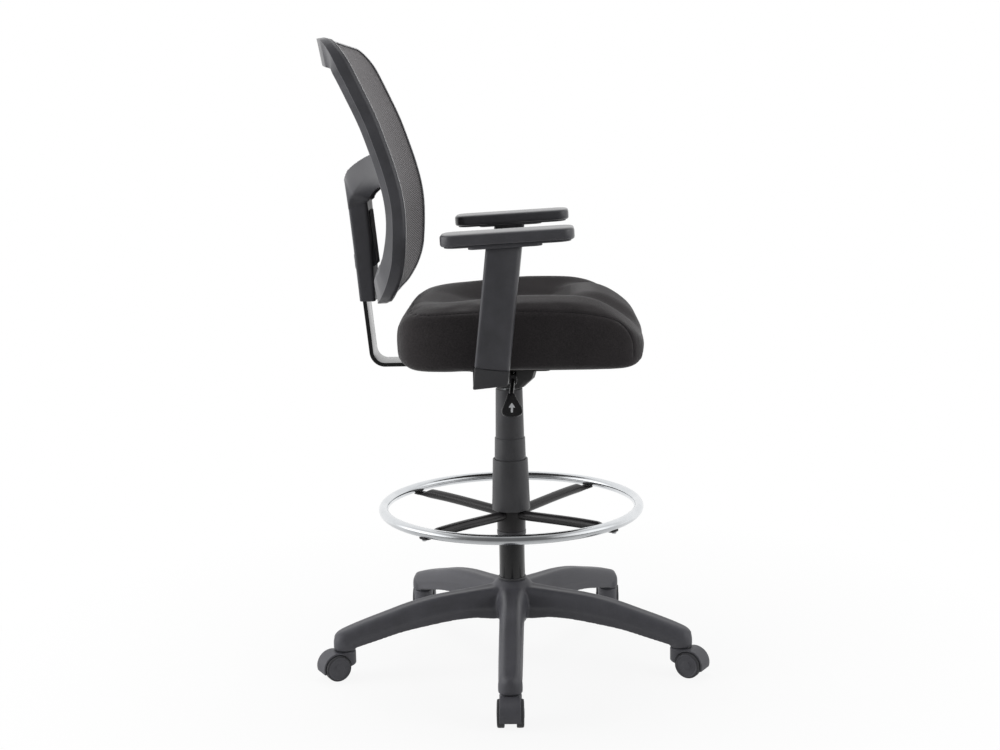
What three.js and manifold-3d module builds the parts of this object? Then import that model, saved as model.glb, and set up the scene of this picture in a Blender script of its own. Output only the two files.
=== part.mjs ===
// A drafting chair: a tall task chair with a five-leg base, a sliding footring, telescoping column covers,
// a padded seat, height-adjustable arms and a mesh back on a sliding spine.
// Millimetres, +Z up, the origin on the floor under the column. The sitter faces -Y, so their right is -X.
import * as THREE from "three";
import { mergeVertices } from "three/addons/utils/BufferGeometryUtils.js";
import Module from "manifold-3d";

const wasm = await Module();
wasm.setup();

// ---------------------------------------------------------------- driving dimensions
const SEAT_CLEAR = 0.3; // gap between two pieces that touch
const RUN_CLEAR = 0.5; // gap between two pieces that slide or turn on each other

// Casters
const WHEEL_D = 50;
const WHEEL_W = 14;
const WHEEL_INNER = 10.5; // from the caster's middle plane to a wheel's inner face
const CASTER_TRAIL = 23;
const HOOD_WALL = 3;
const HOOD_HALF_W = 19;
const NECK_D = 40;
const STEM_D = 11;
const STEM_TOP = 82;
const AXLE_D = 8;
const CASTER_TURN = [0, -12, 34, -36, 12]; // how far each caster stands turned from straight out, degrees

// Star base
const LEG_COUNT = 5;
const STEM_CIRCLE_R = 337;
const SOCKET_D = 44;
const SOCKET_BOTTOM = 55;
const LEG_WALL = 4;
const LEG_ROOF = 6;
const LEG_RIB = 3;
const HUB_D = 88;
const HUB_TOP = 161;
const HUB_BOTTOM = 87;

// Column and its covers
const COLUMN_D = 50;
const COLUMN_BOTTOM = 91;
const COLUMN_TOP = 323;
const COLUMN_WALL = 2.2;
const PISTON_D = 28;
const PISTON_BOTTOM = 229;
const COVER_WALL = 1.2;
const COVER_LOWER = { bottom: 301, top: 401, bottomD: 74.5, topD: 68 };
const COVER_MIDDLE = { bottom: 365, top: 443, bottomD: 62.4, topD: 58.8 };
const COVER_UPPER = { bottom: 437, top: 539, bottomD: 55.8, topD: 52 };

// Footring
const RING_R = 248;
const RING_TUBE_D = 18.5;
const RING_Z = 307;
const SPOKE_COUNT = 4;
const SPOKE_FIRST = 51; // azimuth of the first spoke, degrees
const SPOKE_D = 19;
const SPOKE_ROOT_Z = 291;
const SPOKE_TAB_T = 3;
const SPOKE_TAB_W = 24;
const RING_HUB_WALL = 2;
const RING_HUB_BOTTOM = 259;
const RING_BUSH_H = 10;

// Seat
const MECH_BOTTOM = 546;
const PLATE_Y = -4;
const PLATE_TOP = 590;
const PLATE_T = 4;
const PAN_T = 10;
const PAN_HALF_W = 150;
const PAN_L = 360;
const BAR_W = 76;
const BAR_T = 7.5;
const CUSHION_FRONT = 256;
const CUSHION_REAR = -208;
const CUSHION_HALF_W = 243;

// Height lever, on the sitter's right
const LEVER_D = 8;
const LEVER_Y = -10;
const LEVER_Z = MECH_BOTTOM + 30;
const LEVER_ROOT_X = -19.6; // the rod's inner end, beside the piston's post
const LEVER_BEND_X = -118;
const PADDLE_X = -152;
const PADDLE_Y = -7;
const PADDLE_Z = MECH_BOTTOM + 5; // the top of the paddle's neck
const PADDLE_T = 8;
const PADDLE_TILT = 14; // degrees, lower edge outwards

// Arms
const ARM_X = 275; // from the middle plane to the middle of an upright
const ARM_LEAN = 6.5; // degrees, top forward
const ARM_SLEEVE_W = 62;
const ARM_SLEEVE_T = 28;
const ARM_SLEEVE_WALL = 3;
const ARM_SLEEVE_L = 207;
const ARM_FOOT_L = 34;
const ARM_BLADE_W = 48;
const ARM_BLADE_T = 12;
const PAD_L = 232;
const PAD_W = 90;
const PAD_T = 21;
const PAD_X = 254;
const PAD_SLOPE = 2.7; // degrees, front higher

// Back
const BACK_HALF_W = 231.5;
const BACK_TOP = 1204;
const BACK_BOTTOM = 715;
const BACK_CORNER_TOP = 48;
const BACK_CORNER_BOTTOM = 75;
const BACK_DISH = 32; // how far the middle lies behind the sides
const RIM_DEPTH = 35;
const MESH_T = 2.4;
const SPINE_LEAN = 5.5; // degrees, top rearward
const SPINE_W = 92;
const SPINE_WALL = 4;
const SPINE_REAR_WALL = 7;
const SPINE_DEPTH = 40;

// ---------------------------------------------------------------- solid helpers
const rad = THREE.MathUtils.degToRad;
const { lerp } = THREE.MathUtils;
const at = (x, y, z) => new THREE.Matrix4().makeTranslation(x, y, z);
const turnX = (degrees) => new THREE.Matrix4().makeRotationX(rad(degrees));
const turnY = (degrees) => new THREE.Matrix4().makeRotationY(rad(degrees));
const turnZ = (degrees) => new THREE.Matrix4().makeRotationZ(rad(degrees));
const chain = (...matrices) => matrices.reduce((a, b) => a.clone().multiply(b));

// A closed geometry as a solid whose faces point outwards.
function solid(geometry, matrix = new THREE.Matrix4()) {
  const bare = new THREE.BufferGeometry();
  bare.setAttribute("position", geometry.getAttribute("position").clone());
  if (geometry.index) bare.setIndex(geometry.index);
  bare.applyMatrix4(matrix);
  const merged = mergeVertices(bare, 1e-4);
  const positions = merged.getAttribute("position");
  const triangles = new Uint32Array(merged.index.array);
  const [a, b, c] = [0, 1, 2].map(() => new THREE.Vector3());
  let volume = 0;
  for (let i = 0; i < triangles.length; i += 3) {
    a.fromBufferAttribute(positions, triangles[i]);
    b.fromBufferAttribute(positions, triangles[i + 1]);
    c.fromBufferAttribute(positions, triangles[i + 2]);
    volume += a.dot(b.cross(c));
  }
  if (volume < 0) triangles.reverse();
  return new wasm.Manifold(
    new wasm.Mesh({ numProp: 3, vertProperties: positions.array, triVerts: triangles }),
  );
}

const join = (first, ...others) => others.reduce((whole, piece) => whole.add(piece), first);
const cut = (first, ...others) => others.reduce((whole, piece) => whole.subtract(piece), first);

function geometryOf(shape) {
  const mesh = shape.getMesh();
  const positions = new Float32Array((mesh.vertProperties.length / mesh.numProp) * 3);
  for (let i = 0; i < positions.length / 3; i++)
    for (let k = 0; k < 3; k++) positions[3 * i + k] = mesh.vertProperties[mesh.numProp * i + k];
  const geometry = new THREE.BufferGeometry();
  geometry.setAttribute("position", new THREE.BufferAttribute(positions, 3));
  geometry.setIndex(new THREE.BufferAttribute(new Uint32Array(mesh.triVerts), 1));
  return geometry;
}

// A [radius, height] profile turned about +Z. One that starts and ends off the axis is closed on itself.
function revolve(profile, { segments = 24, matrix } = {}) {
  const points = profile.map(([r, z]) => new THREE.Vector2(r, z));
  if (profile[0][0] > 0) points.push(points[0].clone());
  return solid(new THREE.LatheGeometry(points, segments).rotateX(Math.PI / 2), matrix);
}

const rod = (diameter, z0, z1, options) =>
  revolve([[0, z0], [diameter / 2, z0], [diameter / 2, z1], [0, z1]], options);

const sleeve = (innerD, outerD, z0, z1, options) =>
  revolve([[innerD / 2, z0], [outerD / 2, z0], [outerD / 2, z1], [innerD / 2, z1]], options);

const box = (x, y, z, matrix) => solid(new THREE.BoxGeometry(x, y, z), matrix);

// A flat outline in x and y, raised from z = 0 to its height.
function raise(outline, height, { matrix, bevel = 0 } = {}) {
  const shape = new THREE.Shape(outline.map(([x, y]) => new THREE.Vector2(x, y)));
  const geometry = new THREE.ExtrudeGeometry(shape, {
    depth: height - 2 * bevel,
    steps: 1,
    bevelEnabled: bevel > 0,
    bevelThickness: bevel,
    bevelSize: bevel,
    bevelOffset: -bevel,
    bevelSegments: 2,
  });
  return solid(geometry.translate(0, 0, bevel), matrix);
}

// The outline of a rectangle with round corners, centred on the origin.
function roundRect(width, height, radius, cornerSteps = 4) {
  const points = [];
  for (let corner = 0; corner < 4; corner++) {
    const sx = corner === 0 || corner === 3 ? 1 : -1;
    const sy = corner < 2 ? 1 : -1;
    for (let i = 0; i <= cornerSteps; i++) {
      const angle = (corner + i / cornerSteps) * (Math.PI / 2);
      points.push([
        sx * (width / 2 - radius) + radius * Math.cos(angle),
        sy * (height / 2 - radius) + radius * Math.sin(angle),
      ]);
    }
  }
  return points;
}

// A frame whose x and y axes carry an outline to a place in space.
const frameAt = (origin, xAxis, yAxis) =>
  new THREE.Matrix4()
    .makeBasis(xAxis, yAxis, new THREE.Vector3().crossVectors(xAxis, yAxis))
    .setPosition(origin);

// A skin over outlines of one point count. Each is carried to its place by a matrix, or point by point by a
// function. A closed loft joins its last outline to its first.
function loft(outlines, places, { closed = false, matrix } = {}) {
  const count = outlines[0].length;
  const rows = places.length;
  const positions = [];
  places.forEach((place, row) =>
    outlines[row].forEach(([x, y]) => {
      const point = place.isMatrix4 ? new THREE.Vector3(x, y, 0).applyMatrix4(place) : place(x, y);
      positions.push(...point.toArray());
    }),
  );
  const index = [];
  for (let row = 0; row < (closed ? rows : rows - 1); row++)
    for (let i = 0; i < count; i++) {
      const [a, b] = [row * count + i, row * count + ((i + 1) % count)];
      const next = ((row + 1) % rows) * count - row * count;
      index.push(a, b, b + next, a, b + next, a + next);
    }
  if (!closed)
    for (const [row, flip] of [[0, true], [rows - 1, false]]) {
      const contour = outlines[row].map(([x, y]) => new THREE.Vector2(x, y));
      const faces = THREE.ShapeUtils.triangulateShape(contour, []);
      const turned = THREE.ShapeUtils.isClockWise(contour) !== flip;
      for (const [a, b, c] of faces) {
        const face = turned ? [c, b, a] : [a, b, c];
        index.push(...face.map((i) => row * count + i));
      }
    }
  const geometry = new THREE.BufferGeometry();
  geometry.setAttribute("position", new THREE.BufferAttribute(new Float32Array(positions), 3));
  geometry.setIndex(index);
  return solid(geometry, matrix);
}

// Values between the stations of a small [position, value] table, on a smooth monotone curve.
function through(table) {
  const xs = table.map(([x]) => x);
  const ys = table.map(([, y]) => y);
  const slopes = xs.slice(1).map((x, i) => (ys[i + 1] - ys[i]) / (x - xs[i]));
  const tangents = xs.map((_, i) => {
    if (i === 0) return slopes[0];
    if (i === xs.length - 1) return slopes[i - 1];
    return slopes[i - 1] * slopes[i] <= 0 ? 0 : (2 * slopes[i - 1] * slopes[i]) / (slopes[i - 1] + slopes[i]);
  });
  return (x) => {
    const i = Math.min(Math.max(xs.findIndex((v) => v >= x), 1), xs.length - 1) - 1;
    if (x >= xs[xs.length - 1]) return ys[ys.length - 1];
    if (x <= xs[0]) return ys[0];
    const h = xs[i + 1] - xs[i];
    const t = (x - xs[i]) / h;
    return (
      ys[i] * (1 + 2 * t) * (1 - t) ** 2 +
      tangents[i] * h * t * (1 - t) ** 2 +
      ys[i + 1] * t * t * (3 - 2 * t) +
      tangents[i + 1] * h * t * t * (t - 1)
    );
  };
}

// ---------------------------------------------------------------- materials and meshes
const MATERIALS = {
  nylon: { color: 0x3a3a3e, roughness: 0.55, metalness: 0 },
  plastic: { color: 0x2f2f31, roughness: 0.5, metalness: 0 },
  coverPlastic: { color: 0x333335, roughness: 0.6, metalness: 0 },
  blackSteel: { color: 0x111112, roughness: 0.35, metalness: 0.2 },
  chrome: { color: 0xd8dadc, roughness: 0.08, metalness: 1 },
  steel: { color: 0xa9abad, roughness: 0.3, metalness: 1 },
  fabric: { color: 0x1f1e1f, roughness: 0.95, metalness: 0 },
  mesh: { color: 0x3b3a3c, roughness: 0.9, metalness: 0 },
  pad: { color: 0x303033, roughness: 0.65, metalness: 0 },
};
for (const name of Object.keys(MATERIALS))
  MATERIALS[name] = new THREE.MeshStandardMaterial({ name, ...MATERIALS[name] });

function piece(name, shape, material) {
  const mesh = new THREE.Mesh(geometryOf(shape), MATERIALS[material]);
  mesh.name = name;
  return mesh;
}

function group(...children) {
  const made = new THREE.Group();
  made.add(...children);
  return made;
}

// ---------------------------------------------------------------- casters
// In a caster's own frame the stem stands on the Z axis and the wheels trail towards +X, on an axle along Y.
const wheelCentre = at(CASTER_TRAIL, 0, WHEEL_D / 2);
const alongY = turnX(-90); // carries +Z to +Y
const HOOD_R = WHEEL_D / 2 + RUN_CLEAR + 0.7 + HOOD_WALL;
const WEB_HALF_W = WHEEL_INNER - RUN_CLEAR;
const NECK_TOP = SOCKET_BOTTOM - 1.5;

function casterHousing() {
  const barrel = rod(2 * HOOD_R, -HOOD_HALF_W, HOOD_HALF_W, { segments: 24, matrix: chain(wheelCentre, alongY) });
  const neckHeight = NECK_TOP - WHEEL_D / 2;
  const neck = rod(NECK_D, 0, neckHeight, { segments: 20, matrix: at(0, 0, WHEEL_D / 2) });
  const pocket = (side) =>
    rod(2 * (HOOD_R - HOOD_WALL), WEB_HALF_W, NECK_D, {
      segments: 24,
      matrix: chain(wheelCentre, side > 0 ? alongY : turnX(90)),
    });
  // The mouth is open below a line that climbs from the trailing edge to the leading one.
  const mouth = raise(
    [[-60, -60], [CASTER_TRAIL + 60, -60], [CASTER_TRAIL + 60, 12], [CASTER_TRAIL, 20], [-60, 36]],
    2 * NECK_D,
    { matrix: chain(at(0, NECK_D, 0), turnX(90)) },
  );
  const web = rod(22, -WEB_HALF_W, WEB_HALF_W, { segments: 16, matrix: chain(wheelCentre, alongY) });
  const stemBore = rod(STEM_D + 2 * SEAT_CLEAR, NECK_TOP - 22, NECK_TOP + 1, { segments: 12 });
  const axleBore = rod(AXLE_D + 2 * SEAT_CLEAR, -NECK_D, NECK_D, {
    segments: 12,
    matrix: chain(wheelCentre, alongY),
  });
  return cut(join(cut(barrel.add(neck), pocket(1), pocket(-1), mouth), web), stemBore, axleBore);
}

function casterStem() {
  const bottom = NECK_TOP - 22 + SEAT_CLEAR;
  return revolve(
    [
      [0, bottom],
      [STEM_D / 2, bottom],
      [STEM_D / 2, STEM_TOP - 2],
      [STEM_D / 2 - 1.6, STEM_TOP],
      [0, STEM_TOP],
    ],
    { segments: 12 },
  );
}

// A wheel about its own axis: the tread, an inner hollow round the hub, and a closed, slightly domed outer face.
function casterWheel() {
  const r = WHEEL_D / 2;
  const boreR = AXLE_D / 2 + RUN_CLEAR / 2;
  const boreDepth = WHEEL_W - 4;
  return revolve(
    [
      [0, boreDepth],
      [boreR, boreDepth],
      [boreR, 0],
      [boreR + 3.5, 0],
      [r - 5, WHEEL_W - 5],
      [r - 5, 0],
      [r, 0],
      [r, WHEEL_W - 3],
      [r - 4, WHEEL_W],
      [0, WHEEL_W],
    ],
    { segments: 20 },
  );
}

function caster(number) {
  const tag = `caster_${number}`;
  const half = WHEEL_INNER + WHEEL_W - 4 - SEAT_CLEAR;
  const axle = rod(AXLE_D, -half, half, { segments: 12, matrix: chain(wheelCentre, alongY) });
  const wheels = group(
    ...[1, -1].map((side) => {
      const wheel = piece(`${tag}_wheel_${side > 0 ? "left" : "right"}`, casterWheel(), "nylon");
      wheel.rotation.x = side > 0 ? -Math.PI / 2 : Math.PI / 2;
      wheel.position.y = side * WHEEL_INNER;
      return wheel;
    }),
  );
  wheels.position.set(CASTER_TRAIL, 0, WHEEL_D / 2);
  return group(
    piece(`${tag}_housing`, casterHousing(), "nylon"),
    piece(`${tag}_stem`, casterStem(), "steel"),
    piece(`${tag}_axle`, axle, "steel"),
    wheels,
  );
}

// ---------------------------------------------------------------- star base
// The leg's curves were drawn for a circle of stems of this radius, and stretch with the circle.
const LEG_DRAWN_R = 337;
const reach = (r) => (r * STEM_CIRCLE_R) / LEG_DRAWN_R;
const alongLeg = (table) => through(table.map(([r, value]) => [reach(r), value]));
const legTop = alongLeg([[0, 153], [92, 146], [157, 140.5], [205, 132], [257, 118], [300, 106], [337, 93]]);
const legBottom = alongLeg([[0, 87], [50, 89], [88, 93], [130, 92], [170, 88], [230, 80], [270, 71], [313, 61], [337, 55]]);
const legHalf = alongLeg([[0, 36], [45, 30], [80, 25.5], [140, 24], [300, 22.5], [337, 22]]);
const LEG_STATIONS = [14, 48, 80, 135, 195, 260, 337].map(reach);
const FLUTE = 2.6; // depth of the shallow valley along a leg's top

// A leg's cross-section: an inset skirt, a bulged flank, and two rounded shoulders beside the valley.
function legSection(r) {
  const [a, top, bottom] = [legHalf(r), legTop(r), legBottom(r)];
  const h = top - bottom;
  const half = [
    [a - 3, bottom],
    [a - 2.4, bottom + 0.3 * h],
    [a, bottom + 0.38 * h],
    [a - 3, top - 0.2 * h],
    [0.55 * a, top],
  ];
  const valley = [0, top - FLUTE * (1 - r / (STEM_CIRCLE_R + 20))];
  return [...half, valley, ...half.map(([x, z]) => [-x, z]).reverse()];
}

function channelSection(r) {
  const [a, top, bottom] = [legHalf(r) - LEG_WALL, legTop(r) - LEG_ROOF, legBottom(r) - 4];
  return [[a - 3, bottom], [a - 1, top - 12], [a - 9, top - 2], [9 - a, top - 2], [1 - a, top - 12], [3 - a, bottom]];
}

// A leg runs out along +X.
function leg() {
  const stationFrame = (r) =>
    frameAt(new THREE.Vector3(r, 0, 0), new THREE.Vector3(0, 1, 0), new THREE.Vector3(0, 0, 1));
  const skin = loft(LEG_STATIONS.map(legSection), LEG_STATIONS.map(stationFrame));
  const hollow = [HUB_D / 2 + 8, ...[80, 135, 195, 260].map(reach), STEM_CIRCLE_R - SOCKET_D / 2 - 1];
  let channel = loft(hollow.map(channelSection), hollow.map(stationFrame));
  for (const r of [130, 215].map(reach)) channel = channel.subtract(box(LEG_RIB, 90, 160, at(r, 0, 80)));
  const r = SOCKET_D / 2;
  const socket = revolve(
    [
      [0, SOCKET_BOTTOM],
      [r, SOCKET_BOTTOM],
      [r, SOCKET_BOTTOM + 18],
      [r - 1.6, SOCKET_BOTTOM + 28],
      [r - 6, SOCKET_BOTTOM + 35],
      [r - 13, SOCKET_BOTTOM + 38],
      [0, SOCKET_BOTTOM + 38.5],
    ],
    { segments: 20, matrix: at(STEM_CIRCLE_R, 0, 0) },
  );
  return { body: skin.add(socket), channel };
}

function starBase() {
  const hub = revolve(
    [
      [0, HUB_BOTTOM],
      [HUB_D / 2 - 2, HUB_BOTTOM],
      [HUB_D / 2, HUB_TOP - 24],
      [HUB_D / 2 - 7, HUB_TOP - 8],
      [COLUMN_D / 2 + 3, HUB_TOP],
      [0, HUB_TOP],
    ],
    { segments: 24 },
  );
  let [body, channels] = [hub, null];
  const { body: legBody, channel } = leg();
  const [legMesh, channelMesh] = [geometryOf(legBody), geometryOf(channel)];
  for (let i = 0; i < LEG_COUNT; i++) {
    const spin = turnZ(180 + (i * 360) / LEG_COUNT);
    body = body.add(solid(legMesh, spin));
    const turned = solid(channelMesh, spin);
    channels = channels ? channels.add(turned) : turned;
  }
  const bore = rod(COLUMN_D + 2 * SEAT_CLEAR, HUB_BOTTOM - 5, HUB_TOP + 5, { segments: 24 });
  // The hollow round the column's socket, open below.
  const underside = sleeve(COLUMN_D + 14, HUB_D - 10, HUB_BOTTOM - 5, HUB_TOP - 34, { segments: 24 });
  body = cut(body, channels, underside, bore);
  for (let i = 0; i < LEG_COUNT; i++) {
    const stem = chain(turnZ(180 + (i * 360) / LEG_COUNT), at(STEM_CIRCLE_R, 0, 0));
    body = body.subtract(
      rod(STEM_D + 2 * SEAT_CLEAR, SOCKET_BOTTOM - 2, STEM_TOP + SEAT_CLEAR, { segments: 12, matrix: stem }),
    );
  }
  return body;
}

// ---------------------------------------------------------------- column
const hubRing = () =>
  sleeve(COLUMN_D + 2 * SEAT_CLEAR, COLUMN_D + 5, HUB_TOP + SEAT_CLEAR, HUB_TOP + 4, { segments: 24 });

function columnTube() {
  const r = COLUMN_D / 2;
  return revolve(
    [
      [0, COLUMN_BOTTOM],
      [r - 1, COLUMN_BOTTOM],
      [r, COLUMN_BOTTOM + 30],
      [r, COLUMN_TOP],
      [r - COLUMN_WALL, COLUMN_TOP],
      [r - COLUMN_WALL, COLUMN_BOTTOM + 12],
      [0, COLUMN_BOTTOM + 12],
    ],
    { segments: 24 },
  );
}

function columnBush() {
  const bore = PISTON_D / 2 + SEAT_CLEAR;
  const outer = COLUMN_D / 2 - COLUMN_WALL - SEAT_CLEAR;
  return revolve(
    [
      [bore, COLUMN_TOP - 60],
      [outer, COLUMN_TOP - 60],
      [outer, COLUMN_TOP + SEAT_CLEAR],
      [COLUMN_D / 2 - 0.4, COLUMN_TOP + SEAT_CLEAR],
      [COLUMN_D / 2 - 0.4, COLUMN_TOP + 4],
      [bore, COLUMN_TOP + 4],
    ],
    { segments: 24 },
  );
}

// A slightly conical cover. A floor or a roof reaches in to what it grips.
function cover({ bottom, top, bottomD, topD }, { floorD = 0, roofD = 0, capT = 2.5 } = {}) {
  const [outer, inner] = [(d) => d / 2, (d) => d / 2 - COVER_WALL];
  const profile = [[outer(bottomD), bottom], [outer(topD), top]];
  if (roofD) profile.push([roofD / 2, top], [roofD / 2, top - capT]);
  profile.push([inner(topD), roofD ? top - capT : top], [inner(bottomD), floorD ? bottom + capT : bottom]);
  if (floorD) profile.push([floorD / 2, bottom + capT], [floorD / 2, bottom]);
  return revolve(profile, { segments: 24 });
}

function pistonTube() {
  const r = PISTON_D / 2;
  return revolve(
    [
      [0, PISTON_BOTTOM],
      [r, PISTON_BOTTOM],
      [r, MECH_BOTTOM + 4],
      [r - 1.4, MECH_BOTTOM + 34],
      [4.5, MECH_BOTTOM + 34],
      [4.5, MECH_BOTTOM + 39],
      [0, MECH_BOTTOM + 39],
    ],
    { segments: 24 },
  );
}

// ---------------------------------------------------------------- footring
const RING_HUB_TOP = COVER_LOWER.bottom - SEAT_CLEAR - 0.2;
const RING_HUB_BORE = COLUMN_D + 2 * RUN_CLEAR;
const RING_HUB_D = RING_HUB_BORE + 2 * RING_HUB_WALL;
const RING_UNDER = RING_Z - RING_TUBE_D / 2;

const footringRing = () => solid(new THREE.TorusGeometry(RING_R, RING_TUBE_D / 2, 8, 44), at(0, 0, RING_Z));

// One spoke along +X: a tube pressed flat at its end into a tab that lies under the ring.
function spoke() {
  const tabTop = RING_UNDER - SEAT_CLEAR;
  const axisAt = through([
    [RING_HUB_D / 2 - 1, SPOKE_ROOT_Z],
    [RING_R - 38, tabTop + 1.5],
    [RING_R - 14, tabTop - SPOKE_TAB_T / 2],
    [RING_R + 4, tabTop - SPOKE_TAB_T / 2],
  ]);
  const flat = through([[RING_R - 38, 0], [RING_R - 14, 1]]);
  const stations = [RING_HUB_D / 2 - 1.2, RING_R - 38, RING_R - 24, RING_R - 14, RING_R + 4];
  const outlines = stations.map((r) => {
    const width = lerp(SPOKE_D, SPOKE_TAB_W, flat(r));
    const height = lerp(SPOKE_D, SPOKE_TAB_T, flat(r));
    return roundRect(width, height, Math.min(width, height) / 2 - 0.05, 2);
  });
  const frames = stations.map((r) =>
    frameAt(new THREE.Vector3(r, 0, axisAt(r)), new THREE.Vector3(0, 1, 0), new THREE.Vector3(0, 0, 1)),
  );
  return loft(outlines, frames);
}

function footringFrame() {
  const hub = sleeve(RING_HUB_BORE, RING_HUB_D, RING_HUB_BOTTOM, RING_HUB_TOP, { segments: 24 });
  const spokeMesh = geometryOf(spoke());
  const tabTop = RING_UNDER - SEAT_CLEAR;
  let frame = hub;
  for (let i = 0; i < SPOKE_COUNT; i++) frame = frame.add(solid(spokeMesh, spokeTurn(i)));
  for (let i = 0; i < SPOKE_COUNT; i++)
    frame = frame.subtract(
      rod(5.8, tabTop - 2 * SPOKE_TAB_T, tabTop + 1, { segments: 8, matrix: chain(spokeTurn(i), at(RING_R, 0, 0)) }),
    );
  return frame;
}

const spokeTurn = (i) => turnZ(SPOKE_FIRST + (i * 360) / SPOKE_COUNT);

// A pan-head screw from below: its head under the tab, its shank in the tab's hole.
function ringScrew() {
  const tabBottom = RING_UNDER - SEAT_CLEAR - SPOKE_TAB_T;
  return revolve(
    [
      [0, tabBottom - 3.6],
      [4.8, tabBottom - 3.6],
      [4.8, tabBottom - SEAT_CLEAR],
      [2.4, tabBottom - SEAT_CLEAR],
      [2.4, RING_UNDER - SEAT_CLEAR],
      [0, RING_UNDER - SEAT_CLEAR],
    ],
    { segments: 8 },
  );
}

const footringBush = () =>
  revolve(
    [
      [COLUMN_D / 2 + RUN_CLEAR, RING_HUB_BOTTOM - RING_BUSH_H],
      [RING_HUB_D / 2 - 0.6, RING_HUB_BOTTOM - RING_BUSH_H],
      [RING_HUB_D / 2 + 0.4, RING_HUB_BOTTOM - RING_BUSH_H + 2],
      [RING_HUB_D / 2 + 0.4, RING_HUB_BOTTOM - SEAT_CLEAR],
      [COLUMN_D / 2 + RUN_CLEAR, RING_HUB_BOTTOM - SEAT_CLEAR],
    ],
    { segments: 24 },
  );

// ---------------------------------------------------------------- seat
const BAR_LOW_Z = PLATE_TOP; // the bar's flat run lies on the seat plate
const BAR_TOP_Z = BAR_LOW_Z + BAR_T;
const PAN_BOTTOM = BAR_TOP_Z + SEAT_CLEAR;
const CUSHION_BOTTOM = PAN_BOTTOM + PAN_T + SEAT_CLEAR;

// The pressed-steel tilt housing: a dished trough with a flange all round its top and a bore for the taper.
function seatPlate() {
  const trough = (w, l, z, r) => ({ outline: roundRect(w, l, r, 2), z });
  const outer = [
    trough(80, 52, MECH_BOTTOM, 14),
    trough(116, 92, MECH_BOTTOM + 20, 18),
    trough(130, 106, PLATE_TOP - SEAT_CLEAR, 18),
  ];
  const flat = (level) => frameAt(new THREE.Vector3(0, PLATE_Y, level.z), new THREE.Vector3(1, 0, 0), new THREE.Vector3(0, 1, 0));
  const body = loft(outer.map((l) => l.outline), outer.map(flat));
  const inner = [
    trough(80 - 2 * PLATE_T, 52 - 2 * PLATE_T, MECH_BOTTOM + PLATE_T, 10),
    trough(116 - 2 * PLATE_T, 92 - 2 * PLATE_T, MECH_BOTTOM + 20 + PLATE_T / 2, 14),
    trough(130 - 2 * PLATE_T, 106 - 2 * PLATE_T, PLATE_TOP + 2, 14),
  ];
  const hollow = loft(inner.map((l) => l.outline), inner.map(flat));
  const flange = raise(roundRect(176, 152, 10, 2), PLATE_T, {
    matrix: at(0, PLATE_Y, PLATE_TOP - PLATE_T - SEAT_CLEAR),
  });
  // The lever's rod passes through a tall hole in the trough's right side.
  const leverHole = box(60, LEVER_D + 3, LEVER_D + 9, at(-70, LEVER_Y, LEVER_Z + 2));
  const post = rod(PISTON_D + 12, MECH_BOTTOM + 0.5, MECH_BOTTOM + 30, { segments: 20 });
  const bore = revolve(
    [
      [0, MECH_BOTTOM - 5],
      [PISTON_D / 2 + SEAT_CLEAR, MECH_BOTTOM - 5],
      [PISTON_D / 2 + SEAT_CLEAR, MECH_BOTTOM + 4],
      [PISTON_D / 2 - 1.4 + SEAT_CLEAR, MECH_BOTTOM + 34],
      [0, MECH_BOTTOM + 60],
    ],
    { segments: 24 },
  );
  return cut(join(cut(join(body, flange), hollow), post), bore, leverHole);
}

// The board under the cushion, that the tilt housing, the arms and the back's bar are screwed to.
function seatPan() {
  const outline = roundRect(2 * PAN_HALF_W, PAN_L, 50, 4);
  const holes = [-24, 40].flatMap((y) => [-24, 24].map((x) => [x, y]));
  let board = raise(outline, PAN_T, { matrix: at(0, -(CUSHION_FRONT + CUSHION_REAR) / 2, PAN_BOTTOM) });
  for (const [x, y] of holes)
    board = board.subtract(rod(8, PAN_BOTTOM - 1, PAN_BOTTOM + PAN_T + 1, { segments: 8, matrix: at(x, y, 0) }));
  return board;
}

// The cushion: sections across the seat at stations along it, front first.
const cushionTop = through([
  [-208, 652],
  [-204, 676],
  [-197, 697],
  [-185, 712],
  [-165, 722],
  [-120, 730],
  [-40, 735],
  [60, 740],
  [110, 740],
  [160, 733],
  [200, 719],
  [228, 698],
  [244, 676],
  [253, 652],
  [256, 640],
]);
const cushionBottom = through(
  [
    [-208, 37],
    [-203, 21],
    [-188, 7.5],
    [-150, 0],
    [200, 0],
    [232, 5],
    [248, 15],
    [256, 26],
  ].map(([forward, above]) => [forward, CUSHION_BOTTOM + above]),
);
const cushionHalf = through([
  [-208, 95],
  [-204, 140],
  [-197, 174],
  [-185, 202],
  [-165, 223],
  [-120, 239],
  [-40, 243],
  [110, 243],
  [160, 238],
  [200, 222],
  [228, 200],
  [244, 164],
  [253, 118],
  [256, 84],
]);
const CUSHION_STATIONS = [-208, -204, -197, -185, -165, -120, -40, 110, 160, 200, 228, 244, 253, 256];

function cushionSection(forward) {
  const [top, bottom, half] = [cushionTop(forward), cushionBottom(forward), cushionHalf(forward)];
  const h = top - bottom;
  const side = [
    [half - 0.16 * h, bottom],
    [half - 0.05 * h, bottom + 0.06 * h],
    [half, bottom + 0.25 * h],
    [half, bottom + 0.72 * h],
    [half - 0.07 * h, bottom + 0.86 * h],
    [half - 0.3 * h, bottom + 0.95 * h],
    [half - 0.8 * h, top],
  ];
  return [...side, ...side.map(([x, z]) => [-x, z]).reverse()];
}

function seatCushion() {
  const frames = CUSHION_STATIONS.map((forward) =>
    frameAt(new THREE.Vector3(0, -forward, 0), new THREE.Vector3(1, 0, 0), new THREE.Vector3(0, 0, 1)),
  );
  return loft(CUSHION_STATIONS.map(cushionSection), frames);
}

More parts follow.
